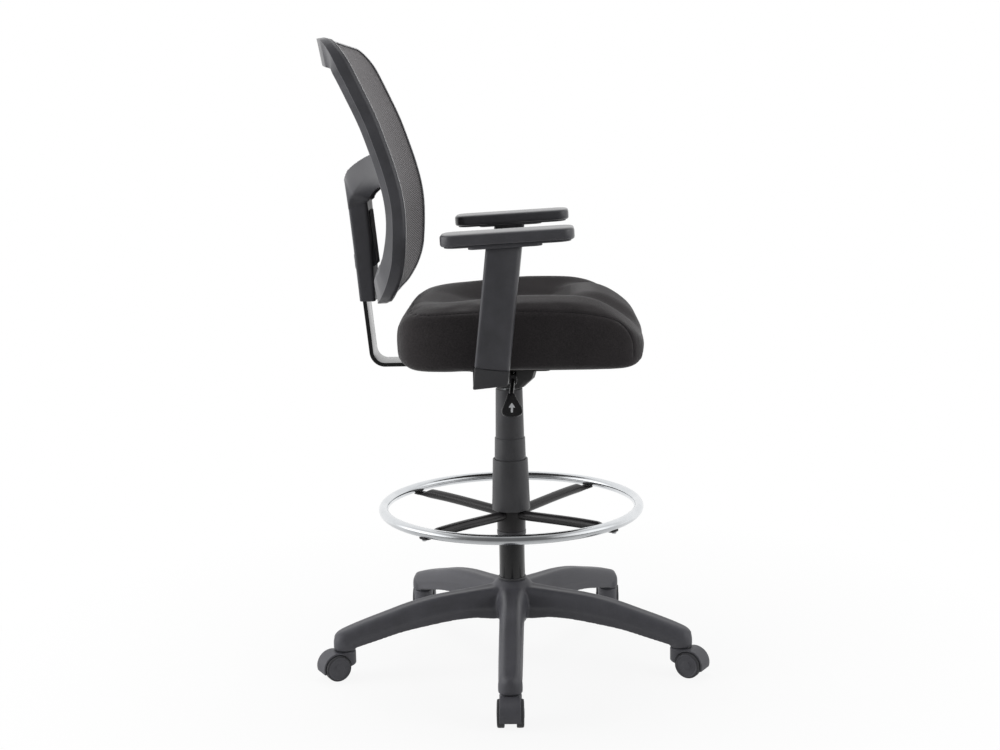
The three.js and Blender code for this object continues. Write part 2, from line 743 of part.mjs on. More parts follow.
// ---------------------------------------------------------------- the bar that carries the back
const BAR_BEND_R = 26; // to the bar's middle surface
const BAR_CORNER_Y = 257; // where the middle lines of its two straights would meet
const BAR_UPRIGHT_TOP = 873;

// Points along the bar's middle line, from under the seat to its top inside the spine.
function barLine() {
  const lean = rad(SPINE_LEAN);
  const corner = new THREE.Vector2(BAR_CORNER_Y, BAR_LOW_Z + BAR_T / 2);
  const tangent = BAR_BEND_R * Math.tan((Math.PI / 2 - lean) / 2);
  const up = new THREE.Vector2(Math.sin(lean), Math.cos(lean));
  const centre = new THREE.Vector2(corner.x - tangent, corner.y + BAR_BEND_R);
  const points = [new THREE.Vector2(-40, corner.y)];
  const sweep = Math.PI / 2 - lean;
  for (let i = 0; i <= 6; i++) {
    const angle = -Math.PI / 2 + (sweep * i) / 6;
    points.push(centre.clone().add(new THREE.Vector2(Math.cos(angle), Math.sin(angle)).multiplyScalar(BAR_BEND_R)));
  }
  points.push(corner.clone().addScaledVector(up, (BAR_UPRIGHT_TOP - corner.y) / up.y));
  return points;
}

function backBar() {
  const line = barLine();
  const section = [
    [-BAR_W / 2, -BAR_T / 2 + 1.2],
    [-BAR_W / 2 + 1.2, -BAR_T / 2],
    [BAR_W / 2 - 1.2, -BAR_T / 2],
    [BAR_W / 2, -BAR_T / 2 + 1.2],
    [BAR_W / 2, BAR_T / 2 - 1.2],
    [BAR_W / 2 - 1.2, BAR_T / 2],
    [-BAR_W / 2 + 1.2, BAR_T / 2],
    [-BAR_W / 2, BAR_T / 2 - 1.2],
  ];
  const frames = line.map((point, i) => {
    const before = line[Math.max(i - 1, 0)];
    const after = line[Math.min(i + 1, line.length - 1)];
    const along = after.clone().sub(before).normalize();
    return frameAt(
      new THREE.Vector3(0, point.x, point.y),
      new THREE.Vector3(1, 0, 0),
      new THREE.Vector3(0, -along.y, along.x),
    );
  });
  const bar = loft(frames.map(() => section), frames);
  const bolts = [-24, 40].flatMap((y) =>
    [-24, 24].map((x) => rod(7, BAR_LOW_Z - 4, BAR_TOP_Z + 4, { segments: 12, matrix: at(x, y, 0) })),
  );
  return cut(bar, ...bolts);
}

// ---------------------------------------------------------------- height lever
// The rod runs out through the trough's side, then turns down and outwards into the paddle.
function leverTube(radius) {
  const points = [
    [LEVER_ROOT_X, LEVER_Y, LEVER_Z],
    [LEVER_BEND_X, LEVER_Y, LEVER_Z],
    [PADDLE_X + 8, PADDLE_Y - 1, LEVER_Z - 14],
    [PADDLE_X, PADDLE_Y, PADDLE_Z - 2],
    [PADDLE_X - 3, PADDLE_Y, PADDLE_Z - 12],
  ].map((point) => new THREE.Vector3(...point));
  const path = new THREE.CatmullRomCurve3(points, false, "centripetal");
  const section = new THREE.Shape(
    Array.from({ length: 8 }, (_, i) => {
      const angle = (i / 8) * 2 * Math.PI;
      return new THREE.Vector2(radius * Math.cos(angle), radius * Math.sin(angle));
    }),
  );
  return new THREE.ExtrudeGeometry(section, { extrudePath: path, steps: 12, bevelEnabled: false });
}

function leverRod() {
  const boss = raise(roundRect(21, 15, 7, 3), 9, {
    matrix: chain(at(LEVER_BEND_X + 4, LEVER_Y, LEVER_Z), turnY(-90)),
  });
  return solid(leverTube(LEVER_D / 2)).add(boss);
}

// The paddle's outline, x forward and y up, hangs from its neck at the origin.
function leverPaddle() {
  const outline = [
    [-6, 4],
    [6, 4],
    [9, -4],
    [20, -24],
    [21, -31],
    [16, -37],
    [2, -40],
    [-12, -38],
    [-18, -33],
    [-18, -26],
    [-9, -4],
  ];
  const tilt = rad(PADDLE_TILT);
  const place = frameAt(
    new THREE.Vector3(PADDLE_X + PADDLE_T / 2, PADDLE_Y, PADDLE_Z),
    new THREE.Vector3(0, -1, 0),
    new THREE.Vector3(Math.sin(tilt), 0, Math.cos(tilt)),
  );
  const blade = raise(outline, PADDLE_T, { bevel: 1.5, matrix: place });
  return cut(blade, solid(leverTube(LEVER_D / 2 + SEAT_CLEAR)));
}

// ---------------------------------------------------------------- arms
// An arm's own frame stands on the upright's middle line, leaning forward, +X away from the seat.
const ARM_BASE_Y = 26.3;
const ARM_BASE_Z = 593;
const SLEEVE_BOTTOM = 30.5;
const BRACKET_T = 6;
const BRACKET_INNER_X = 101;
const BLADE_TOP = 188;
const BUTTON_Z = 196;
const BUTTON_W = 14;
const BUTTON_H = 22;
const BUTTON_OUT = 2.6; // how far the button stands out of the sleeve
const armPlace = chain(at(ARM_X, ARM_BASE_Y, ARM_BASE_Z), turnX(ARM_LEAN));
const PAD_Y = -7;
const PAD_Z = 852;
const padPlace = chain(at(PAD_X, PAD_Y, PAD_Z), turnX(-PAD_SLOPE));
const TRAY_T = 3;
const PAD_PLATE_T = 4;
const PAD_PLATE_BOTTOM = -PAD_T / 2 - SEAT_CLEAR - TRAY_T - PAD_PLATE_T;

// The left arm's pieces, in the chair's frame. The right arm is their mirror image.
function armBracket() {
  const halfT = ARM_SLEEVE_T / 2 - 1;
  const halfW = ARM_SLEEVE_W / 2 - 1;
  const footOutline = [
    [-halfW, 4],
    [halfW, -9],
    [halfW, SLEEVE_BOTTOM - SEAT_CLEAR],
    [-halfW, SLEEVE_BOTTOM - SEAT_CLEAR],
  ];
  const foot = raise(footOutline, 2 * halfT, {
    bevel: 1.2,
    matrix: chain(armPlace, at(-halfT, 0, 0), turnZ(90), turnX(90)),
  });
  const bladeMid = SLEEVE_BOTTOM + (BLADE_TOP - SLEEVE_BOTTOM) / 2 - 4;
  let blade = box(ARM_BLADE_T, ARM_BLADE_W, BLADE_TOP - SLEEVE_BOTTOM + 8, chain(armPlace, at(0, 0, bladeMid)));
  for (let i = 0; i < 6; i++)
    blade = blade.subtract(
      box(ARM_BLADE_T + 2, 7, 4, chain(armPlace, at(0, -ARM_BLADE_W / 2, BLADE_TOP - 8 - i * 12))),
    );
  const plateTop = PAN_BOTTOM - SEAT_CLEAR;
  const plateLength = ARM_X - BRACKET_INNER_X - halfT + 2;
  const plate = raise(roundRect(plateLength, 62, 8, 3), BRACKET_T, {
    matrix: at(BRACKET_INNER_X + plateLength / 2, ARM_BASE_Y, plateTop - BRACKET_T),
  });
  const inner = ARM_X - halfT;
  const gusset = raise(
    [
      [inner + 3, plateTop - BRACKET_T],
      [inner - 62, plateTop - BRACKET_T],
      [inner - 62, plateTop],
      [CUSHION_HALF_W + 2, plateTop],
      [CUSHION_HALF_W + 6, plateTop + 20],
      [inner + 3, plateTop + 20],
    ],
    4,
    { matrix: chain(at(0, ARM_BASE_Y + 31, 0), turnX(90)) },
  );
  const holes = [-18, 18].map((y) =>
    rod(7, plateTop - 20, plateTop + 5, { segments: 12, matrix: at(BRACKET_INNER_X + 14, ARM_BASE_Y + y, 0) }),
  );
  return cut(join(foot, blade, plate, gusset), ...holes);
}

function armSleeve() {
  const top = SLEEVE_BOTTOM + ARM_SLEEVE_L + 14;
  const shell = raise(roundRect(ARM_SLEEVE_T, ARM_SLEEVE_W, 7, 4), top - SLEEVE_BOTTOM, { matrix: at(0, 0, SLEEVE_BOTTOM) });
  const inner = roundRect(ARM_SLEEVE_T - 2 * ARM_SLEEVE_WALL, ARM_SLEEVE_W - 2 * ARM_SLEEVE_WALL, 4, 3);
  const hollow = raise(inner, ARM_SLEEVE_L - 10, { matrix: at(0, 0, SLEEVE_BOTTOM - 5) });
  const window = box(10, BUTTON_W + 2 * SEAT_CLEAR, BUTTON_H + 2 * SEAT_CLEAR, at(-ARM_SLEEVE_T / 2, 0, BUTTON_Z));
  const open = cut(shell, hollow, window);
  const placed = solid(geometryOf(open), armPlace);
  const above = box(400, 400, 100, chain(padPlace, at(0, 0, PAD_PLATE_BOTTOM - SEAT_CLEAR + 50)));
  return placed.subtract(above);
}

// The button stands in the sleeve's inner wall, with a flange behind it that keeps it in.
function armButton() {
  const wallIn = -ARM_SLEEVE_T / 2 + ARM_SLEEVE_WALL;
  const depth = ARM_SLEEVE_WALL + BUTTON_OUT + SEAT_CLEAR;
  const cap = box(depth + 1, BUTTON_W, BUTTON_H, at(wallIn + SEAT_CLEAR - depth / 2 + 0.5, 0, BUTTON_Z));
  const flange = box(1.4, BUTTON_W + 5, BUTTON_H + 5, at(wallIn + SEAT_CLEAR + 0.7, 0, BUTTON_Z));
  return solid(geometryOf(cap.add(flange)), armPlace);
}

function armPadBase() {
  const trayBottom = PAD_PLATE_BOTTOM + PAD_PLATE_T;
  const tray = raise(roundRect(PAD_W - 10, PAD_L - 12, 26, 5), TRAY_T, { matrix: chain(padPlace, at(0, 0, trayBottom)) });
  const plate = raise(roundRect(52, 128, 14, 4), PAD_PLATE_T + 1, {
    matrix: chain(padPlace, at(ARM_X - PAD_X - 6, 4, PAD_PLATE_BOTTOM)),
  });
  return tray.add(plate);
}

function armPad() {
  const half = PAD_T / 2;
  const level = (z, inset, corner) => ({ z, outline: roundRect(PAD_W - 2 * inset, PAD_L - 2 * inset, corner, 5) });
  const levels = [level(-half, 4, 22), level(-half + 3.5, 0.6, 25), level(-half + 8, 0, 26), level(half - 5, 0.3, 26), level(half - 1.6, 2, 24), level(half, 6, 20)];
  return loft(
    levels.map((l) => l.outline),
    levels.map((l) => chain(padPlace, at(0, 0, l.z))),
  );
}

// ---------------------------------------------------------------- back
// How far behind the column the side members' front edges stand, by height.
const sideEdge = through([
  [693, 214],
  [715, 207],
  [741, 193],
  [762, 184],
  [796, 176],
  [829, 172.5],
  [876, 171],
  [919, 174.5],
  [965, 185],
  [1012, 200],
  [1054, 215],
  [1103, 237],
  [1158, 264],
  [1197, 287],
]);
const dish = through([[715, 14], [793, 26], [893, BACK_DISH], [1204, 30]]);
const RAIL_SLOPE = 0.15; // the top rail stands nearly upright, whatever the slope below it
const BOTTOM_SAG = 24; // how much higher the bottom edge stands at the sides
const TOP_CROWN = 12; // how much higher the top edge stands in the middle

// A point of the back's front surface, from a flat outline whose top and bottom edges are straight.
function backPoint(x, flatZ) {
  const across = (x / BACK_HALF_W) ** 2;
  const high = THREE.MathUtils.clamp((flatZ - BACK_BOTTOM) / (BACK_TOP - BACK_BOTTOM), 0, 1);
  const z = flatZ + BOTTOM_SAG * across * (1 - high) ** 2 - TOP_CROWN * across * high ** 2;
  return new THREE.Vector3(x, sideEdge(z) + dish(z) * (1 - across), z);
}

// The direction the back faces at a height, in the middle plane.
function backFacing(z) {
  const slope = (sideEdge(z + 4) - sideEdge(z - 4)) / 8;
  return new THREE.Vector3(0, -1, slope).normalize();
}

// The rim's outer edge: a round-cornered rectangle as [x, z, outward x, outward z], from the top middle round.
function rimPath() {
  const path = [];
  const arc = (cx, cz, r, from, steps) => {
    for (let i = 0; i <= steps; i++) {
      const angle = rad(from - (i * 90) / steps);
      path.push([cx + r * Math.cos(angle), cz + r * Math.sin(angle), Math.cos(angle), Math.sin(angle)]);
    }
  };
  const line = (x0, z0, x1, z1, ox, oz, steps) => {
    for (let i = 1; i < steps; i++) path.push([lerp(x0, x1, i / steps), lerp(z0, z1, i / steps), ox, oz]);
  };
  const [w, top, bottom, rt, rb] = [BACK_HALF_W, BACK_TOP, BACK_BOTTOM, BACK_CORNER_TOP, BACK_CORNER_BOTTOM];
  arc(w - rt, top - rt, rt, 90, 4);
  line(w, top - rt, w, bottom + rb, 1, 0, 9);
  arc(w - rb, bottom + rb, rb, 0, 5);
  line(w - rb, bottom, rb - w, bottom, 0, -1, 6);
  arc(rb - w, bottom + rb, rb, -90, 5);
  line(-w, bottom + rb, -w, top - rt, -1, 0, 9);
  arc(rt - w, top - rt, rt, 180, 4);
  line(rt - w, top, w - rt, top, 0, 1, 6);
  return path;
}

const RIM_SIDE_W = 26;
const RIM_TOP_W = 42;
const RIM_BOTTOM_W = 52;
const RAIL_DEPTH_TOP = 24;
const RAIL_DEPTH_BOTTOM = 24;
const CORNER_DEPTH = 41; // the rim is deepest round its bottom corners
const LIP = 8; // from the rim's outer edge to where the mesh starts
const REBATE = 8; // how deep the mesh's seat lies behind the lip

// The rim's section: o runs inwards from its outer edge, n back from its front.
function rimSection(width, depth) {
  return [
    [0, 1.5],
    [0, 0.66 * depth],
    [11, depth],
    [width - 4, depth],
    [width, 0.86 * depth],
    [width, lerp(REBATE, depth, 0.38)],
    [LIP, REBATE],
    [LIP - 1.5, 0],
    [1.5, 0],
  ];
}

function backFrame() {
  const path = rimPath();
  const middles = path.map(([x, z]) => backPoint(x, z));
  const outlines = path.map(([x, z, , oz]) => {
    const width = lerp(RIM_SIDE_W, oz > 0 ? RIM_TOP_W : RIM_BOTTOM_W, Math.abs(oz) ** 2);
    const middle = THREE.MathUtils.smoothstep(1 - Math.min(Math.abs(x) / 190, 1), 0, 0.8);
    const side = lerp(RIM_DEPTH, CORNER_DEPTH, THREE.MathUtils.smoothstep(-z, -900, -770));
    return rimSection(width, lerp(side, oz < 0 ? RAIL_DEPTH_BOTTOM : RAIL_DEPTH_TOP, oz < 0 ? middle : oz));
  });
  const places = path.map(([, , ox, oz], i) => {
    const count = middles.length;
    const along = middles[(i + 1) % count].clone().sub(middles[(i + count - 1) % count]).normalize();
    const facing = backFacing(middles[i].z);
    facing.z = lerp(facing.z, Math.min(facing.z, RAIL_SLOPE), Math.max(oz, 0));
    facing.normalize();
    const outward = new THREE.Vector3().crossVectors(along, facing).normalize();
    if (outward.x * ox + outward.z * oz < 0) outward.negate();
    const front = new THREE.Vector3().crossVectors(outward, along);
    if (front.dot(facing) < 0) front.negate();
    return (o, n) => middles[i].clone().addScaledVector(outward, -o).addScaledVector(front, -n);
  });
  return loft(outlines, places, { closed: true });
}

// The mesh: one thin sheet that follows the back's front surface inside the rim's lip.
function backMesh() {
  const inset = LIP + 1.5;
  const [top, bottom, w] = [BACK_TOP - inset, BACK_BOTTOM + inset, BACK_HALF_W - inset];
  const [rt, rb] = [BACK_CORNER_TOP - inset, BACK_CORNER_BOTTOM - inset];
  const halfAt = (z) => {
    if (z > top - rt) return w - rt + Math.sqrt(Math.max(rt ** 2 - (z - top + rt) ** 2, 0));
    if (z < bottom + rb) return w - rb + Math.sqrt(Math.max(rb ** 2 - (bottom + rb - z) ** 2, 0));
    return w;
  };
  const corner = (r) => [0, 0.12, 0.4, 0.7].map((t) => r * t);
  const rows = [
    ...corner(rb).map((d) => bottom + d),
    ...Array.from({ length: 8 }, (_, i) => lerp(bottom + rb, top - rt, i / 7)),
    ...corner(rt).map((d) => top - d).reverse(),
  ];
  const COLUMNS = 10;
  const outlines = rows.map((z) => {
    const xs = Array.from({ length: COLUMNS + 1 }, (_, i) => lerp(-1, 1, i / COLUMNS) * halfAt(z));
    return [...xs.map((x) => [x, 0]), ...xs.reverse().map((x) => [x, MESH_T])];
  });
  const places = rows.map((flatZ) => (x, back) => {
    const point = backPoint(x, flatZ);
    return point.addScaledVector(backFacing(point.z), -1.6 - back);
  });
  return loft(outlines, places);
}

// The spine's own frame: its origin at the bottom of its rear face, +Z up its lean.
const SPINE_REAR_Y = 280;
const spinePlace = chain(at(0, SPINE_REAR_Y, BACK_BOTTOM), turnX(-SPINE_LEAN));
const SPINE_H = 214;
const SLEEVE_FRONT = 42;
const SLEEVE_LOW_FRONT = 32; // below the bottom rail's top the sleeve stays behind the rail
const SLEEVE_REAR = SPINE_REAR_WALL + BAR_T + 2 * RUN_CLEAR;

// The band's outer face: x, then y and z of its upper edge and of its lower edge.
const BAND_T = 12;
const BAND = [
  [0, 300, 946, 293.8, 884],
  [34, 299.6, 946.5, 293, 886],
  [48, 298.8, 948.5, 290.5, 902],
  [65, 295.5, 953.5, 281.5, 920],
  [95, 287, 965, 265.5, 934],
  [125, 273, 975, 251.5, 945],
  [165, 251.5, 987, 231.5, 954],
  [205, 230, 996.5, 212, 961],
];

function backYoke() {
  const shell = raise(roundRect(SPINE_W, SPINE_DEPTH, 7, 4), SPINE_H, { matrix: at(0, -SPINE_DEPTH / 2, 0) });
  const hollow = box(SPINE_W - 2 * SPINE_WALL, SPINE_DEPTH, SPINE_H - 2 * SPINE_WALL, at(0, -SPINE_DEPTH / 2 - SPINE_REAR_WALL, SPINE_H / 2 - 2 * SPINE_WALL));
  const tab = raise(roundRect(44, 34, 5, 3), 3, { matrix: chain(at(0, -1, 84), turnX(-90)) });
  const spine = solid(geometryOf(join(cut(shell, hollow), tab)), spinePlace);
  // One band from member to member round the spine's top, from edge to edge of its outer face.
  const end = BACK_HALF_W - RIM_SIDE_W - SEAT_CLEAR;
  const right = BAND.slice(1).reverse().map(([x, ...edges]) => [-x, ...edges]);
  const faces = [...right, ...BAND].map(([x, topY, topZ, lowY, lowZ]) => [
    new THREE.Vector3(x, topY, topZ),
    new THREE.Vector3(x, lowY, lowZ),
  ]);
  const middles = faces.map(([top, low]) => top.clone().add(low).multiplyScalar(0.5));
  const outlines = faces.map(([top, low]) => {
    const h = top.distanceTo(low);
    return [[0, 3], [0, h - 3], [3, h], [BAND_T - 3, h], [BAND_T, h - 3], [BAND_T, 3], [BAND_T - 3, 0], [3, 0]];
  });
  const places = faces.map(([top, low], i) => {
    const along = middles[Math.min(i + 1, middles.length - 1)].clone().sub(middles[Math.max(i - 1, 0)]).normalize();
    const up = top.clone().sub(low).normalize();
    const inward = new THREE.Vector3().crossVectors(up, along).normalize();
    return (depth, height) => {
      const point = low.clone().addScaledVector(up, height).addScaledVector(inward, depth);
      // Both ends are cut flat beside the side members.
      if (i === 0 || i === faces.length - 1) point.x = Math.sign(low.x) * end;
      return point;
    };
  });
  const band = loft(outlines, places);
  return spine.add(band);
}

function spineSleeve() {
  const profile = [
    [-SLEEVE_REAR, 2],
    [-SLEEVE_LOW_FRONT, 2],
    [-SLEEVE_LOW_FRONT, 60],
    [-SLEEVE_FRONT, 66],
    [-SLEEVE_FRONT, 166],
    [-SLEEVE_LOW_FRONT, 184],
    [-SLEEVE_REAR, 184],
  ];
  const sideways = (halfW) => chain(at(halfW, 0, 0), turnY(-90));
  const front = raise(profile.map(([y, z]) => [z, y]), 66, { matrix: sideways(33) });
  const flange = box(SPINE_W - 2 * SPINE_WALL - 2 * SEAT_CLEAR, 7, 182, at(0, -SLEEVE_REAR - 3.5, 93));
  return solid(geometryOf(front.add(flange)), spinePlace);
}

// ---------------------------------------------------------------- scene
const root = new THREE.Group();
root.name = "drafting_chair";

const base = group(
  piece("star_base", starBase(), "nylon"),
  piece("hub_ring", hubRing(), "plastic"),
  piece("column_tube", columnTube(), "blackSteel"),
  piece("column_bush", columnBush(), "plastic"),
  piece("cover_lower", cover(COVER_LOWER, { floorD: COLUMN_D + 2 * SEAT_CLEAR }), "coverPlastic"),
  piece("cover_middle", cover(COVER_MIDDLE), "coverPlastic"),
  piece("cover_upper", cover(COVER_UPPER, { roofD: PISTON_D + 2 * SEAT_CLEAR, capT: 3 }), "coverPlastic"),
  piece("piston_tube", pistonTube(), "chrome"),
);
root.add(base);

for (let i = 0; i < LEG_COUNT; i++) {
  const made = caster(i + 1);
  const azimuth = 180 + (i * 360) / LEG_COUNT;
  made.position.set(STEM_CIRCLE_R * Math.cos(rad(azimuth)), STEM_CIRCLE_R * Math.sin(rad(azimuth)), 0);
  made.rotation.z = rad(azimuth + CASTER_TURN[i]);
  root.add(made);
}

const ringScrews = Array.from({ length: SPOKE_COUNT }, (_, i) => {
  const screw = piece(`ring_screw_${i + 1}`, ringScrew(), "steel");
  const azimuth = rad(SPOKE_FIRST + (i * 360) / SPOKE_COUNT);
  screw.position.set(RING_R * Math.cos(azimuth), RING_R * Math.sin(azimuth), 0);
  return screw;
});
root.add(
  group(
    piece("footring_frame", footringFrame(), "blackSteel"),
    piece("footring_ring", footringRing(), "chrome"),
    piece("footring_bush", footringBush(), "plastic"),
    ...ringScrews,
  ),
);

root.add(
  group(
    piece("seat_plate", seatPlate(), "blackSteel"),
    piece("seat_pan", seatPan(), "plastic"),
    piece("seat_cushion", seatCushion(), "fabric"),
    piece("back_bar", backBar(), "blackSteel"),
  ),
);

root.add(group(piece("lever_rod", leverRod(), "steel"), piece("lever_paddle", leverPaddle(), "plastic")));

for (const side of ["left", "right"]) {
  const arm = group(
    piece(`arm_bracket_${side}`, armBracket(), "blackSteel"),
    piece(`arm_sleeve_${side}`, armSleeve(), "plastic"),
    piece(`arm_button_${side}`, armButton(), "plastic"),
    piece(`arm_pad_base_${side}`, armPadBase(), "plastic"),
    piece(`arm_pad_${side}`, armPad(), "pad"),
  );
  if (side === "right") arm.scale.x = -1;
  root.add(arm);
}

root.add(
  group(
    piece("back_frame", backFrame(), "plastic"),
    piece("back_mesh", backMesh(), "mesh"),
    piece("back_yoke", backYoke(), "plastic"),
    piece("spine_sleeve", spineSleeve(), "plastic"),
  ),
);

export default root;
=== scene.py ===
# %% [markdown]
# # A drafting chair, built piece by piece
# The chair is tall enough for a drawing board: a moulded five-leg base on casters, a gas column with
# a footring, a foam seat, sliding arms and a woven back. The hard parts already exist as plain CAD
# solids. Each cell below gives one of them the shape, softness and finish that the real part has,
# and hangs it on the body that carries it, so the chair still lifts, turns and rolls.

import math
from contextlib import contextmanager

import bmesh
import bpy
import numpy as np
from mathutils import Matrix, Vector
from mathutils.bvhtree import BVHTree
from mathutils.kdtree import KDTree


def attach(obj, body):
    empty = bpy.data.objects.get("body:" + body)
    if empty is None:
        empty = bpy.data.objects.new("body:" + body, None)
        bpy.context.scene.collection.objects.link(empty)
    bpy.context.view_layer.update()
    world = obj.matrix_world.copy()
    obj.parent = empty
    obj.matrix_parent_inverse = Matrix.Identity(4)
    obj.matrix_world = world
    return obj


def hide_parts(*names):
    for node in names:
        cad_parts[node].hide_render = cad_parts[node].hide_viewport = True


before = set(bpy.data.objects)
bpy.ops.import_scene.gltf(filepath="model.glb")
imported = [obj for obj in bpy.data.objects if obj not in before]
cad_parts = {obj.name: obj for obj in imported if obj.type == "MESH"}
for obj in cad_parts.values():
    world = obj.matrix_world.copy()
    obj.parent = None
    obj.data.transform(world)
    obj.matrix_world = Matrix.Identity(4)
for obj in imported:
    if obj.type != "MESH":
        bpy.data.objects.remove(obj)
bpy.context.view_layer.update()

# %% [markdown]
# ## Small tools
# Shapes are written in millimetres, as on a drawing, and become metres when they turn into meshes.
# Three ways of making a solid cover most of the chair: a loft through outlines, a profile turned
# about an axis, and a flat outline raised to a thickness.

# %% Curves
MM = 0.001


def through(table):
    """A smooth, never overshooting curve through the table's (x, y) points."""
    xs, ys = (np.array(column, float) for column in zip(*table))
    steps, slopes = np.diff(xs), np.diff(ys) / np.diff(xs)
    tangents = np.concatenate([slopes[:1], (slopes[1:] + slopes[:-1]) / 2, slopes[-1:]])
    tangents[1:-1][slopes[1:] * slopes[:-1] <= 0] = 0
    for i, slope in enumerate(slopes):
        limit = 3 * abs(slope)
        tangents[i] = np.clip(tangents[i], -limit, limit)
        tangents[i + 1] = np.clip(tangents[i + 1], -limit, limit)

    def value(x):
        x = min(max(x, xs[0]), xs[-1])
        i = min(max(int(np.searchsorted(xs, x, side="right")) - 1, 0), len(steps) - 1)
        h, t = steps[i], (x - xs[i]) / steps[i]
        return float((2 * t**3 - 3 * t**2 + 1) * ys[i] + (t**3 - 2 * t**2 + t) * h * tangents[i]
                     + (3 * t**2 - 2 * t**3) * ys[i + 1] + (t**3 - t**2) * h * tangents[i + 1])

    return value


def smoothstep(x, low, high):
    t = min(max((x - low) / (high - low), 0.0), 1.0)
    return t * t * (3 - 2 * t)


def lerp(a, b, t):
    return a + (b - a) * t

# %% Matrices, as short words
def at(x, y, z):
    return Matrix.Translation((x, y, z))


def turn(axis, degrees):
    return Matrix.Rotation(math.radians(degrees), 4, axis)


def frame_at(origin, x_axis, y_axis):
    """The place whose local X and Y run along the two axes."""
    x_axis = Vector(x_axis).normalized()
    z_axis = x_axis.cross(Vector(y_axis)).normalized()
    place = Matrix((x_axis, z_axis.cross(x_axis), z_axis)).transposed().to_4x4()
    place.translation = Vector(origin)
    return place

# %% Outlines
def fillet(points, radius, steps=4):
    """A closed outline with each corner rounded; radius is one value or one for each corner."""
    radii = radius if isinstance(radius, (list, tuple)) else [radius] * len(points)
    rounded = []
    for i, corner in enumerate(points):
        before, here, after = (Vector(points[j % len(points)]) for j in (i - 1, i, i + 1))
        arms = [before - here, after - here]
        reach = min(radii[i], 0.48 * arms[0].length, 0.48 * arms[1].length)
        if reach < 1e-4:
            rounded.append(tuple(corner))
            continue
        a, b = (here + arm.normalized() * reach for arm in arms)
        for k in range(steps + 1):
            t = k / steps
            rounded.append(tuple(a * (1 - t) ** 2 + here * 2 * t * (1 - t) + b * t**2))
    return rounded


def round_rect(width, height, radius, steps=6):
    points = []
    for quarter, (sx, sy) in enumerate([(1, 1), (-1, 1), (-1, -1), (1, -1)]):
        for k in range(steps + 1):
            angle = math.pi / 2 * (quarter + k / steps)
            points.append((sx * (width / 2 - radius) + radius * math.cos(angle),
                           sy * (height / 2 - radius) + radius * math.sin(angle)))
    return points

# %% Meshes
def shown(name, data):
    """A new object in the scene."""
    item = bpy.data.objects.new(name, data)
    bpy.context.scene.collection.objects.link(item)
    return item


@contextmanager
def edited(mesh):
    """The mesh opened for editing, and written back at the end."""
    edit = bmesh.new()
    edit.from_mesh(mesh)
    yield edit
    edit.to_mesh(mesh)
    edit.free()


def new_piece(name, points, faces):
    """A mesh object from points in millimetres, with doubles merged and its faces pointing outwards."""
    mesh = bpy.data.meshes.new(name)
    mesh.from_pydata([[c * MM for c in point] for point in points], [], faces)
    with edited(mesh) as edit:
        bmesh.ops.remove_doubles(edit, verts=edit.verts, dist=1e-6)
        bmesh.ops.dissolve_degenerate(edit, edges=edit.edges, dist=1e-7)
        bmesh.ops.recalc_face_normals(edit, faces=edit.faces)
    return shown(name, mesh)


def loft(name, rings, closed=False):
    """A skin through rings of equal length, capped at both ends unless it closes on itself."""
    count = len(rings[0])
    faces = []
    for i in range(len(rings) if closed else len(rings) - 1):
        a, b = i * count, (i + 1) % len(rings) * count
        faces += [(a + k, a + (k + 1) % count, b + (k + 1) % count, b + k) for k in range(count)]
    if not closed:
        last = (len(rings) - 1) * count
        faces += [tuple(range(count)), tuple(last + k for k in reversed(range(count)))]
    return new_piece(name, [point for ring in rings for point in ring], faces)


def placed(outline, place, z=0.0):
    return [place @ Vector((x, y, z)) for x, y in outline]


def revolve(name, profile, segments=64, place=Matrix.Identity(4)):
    """A closed profile of (radius, height) points turned about the place's Z."""
    rings = []
    for k in range(segments):
        angle = 2 * math.pi * k / segments
        c, s = math.cos(angle), math.sin(angle)
        rings.append([place @ Vector((r * c, r * s, z)) for r, z in profile])
    return loft(name, rings, closed=True)


def raised(name, outline, thickness, place=Matrix.Identity(4), edge=0.0, steps=3):
    """An outline raised along the place's Z, its two rims rounded by pulling the outline in."""
    shape = np.array(outline, float)
    ahead = np.roll(shape, -1, 0) - shape
    behind = shape - np.roll(shape, 1, 0)
    along = ahead / np.linalg.norm(ahead, axis=1)[:, None] + behind / np.linalg.norm(behind, axis=1)[:, None]
    along /= np.linalg.norm(along, axis=1)[:, None]
    area = np.sum(shape[:, 0] * np.roll(shape[:, 1], -1) - np.roll(shape[:, 0], -1) * shape[:, 1])
    inward = np.stack([-along[:, 1], along[:, 0]], 1) * (1 if area > 0 else -1)
    levels = [(0.0, 0.0), (thickness, 0.0)]
    if edge:
        arc = [math.pi / 2 * k / steps for k in range(steps + 1)]
        levels = [(edge * (1 - math.sin(a)), edge * (1 - math.cos(a))) for a in reversed(arc)]
        levels += [(thickness - z, pull) for z, pull in reversed(levels)]
    rings = [placed(shape + inward * pull, place, z) for z, pull in levels]
    return loft(name, rings)


def tube(name, path, radius, sides=16, up=Vector((0, 0, 1))):
    """A round bar along a smooth path of points."""
    points = [Vector(p) for p in path]
    rings = []
    for i, point in enumerate(points):
        along = (points[min(i + 1, len(points) - 1)] - points[max(i - 1, 0)]).normalized()
        side = along.cross(up).normalized()
        high = side.cross(along)
        ring = []
        for k in range(sides):
            angle = 2 * math.pi * k / sides
            ring.append(point + (side * math.cos(angle) + high * math.sin(angle)) * radius)
        rings.append(ring)
    return loft(name, rings)


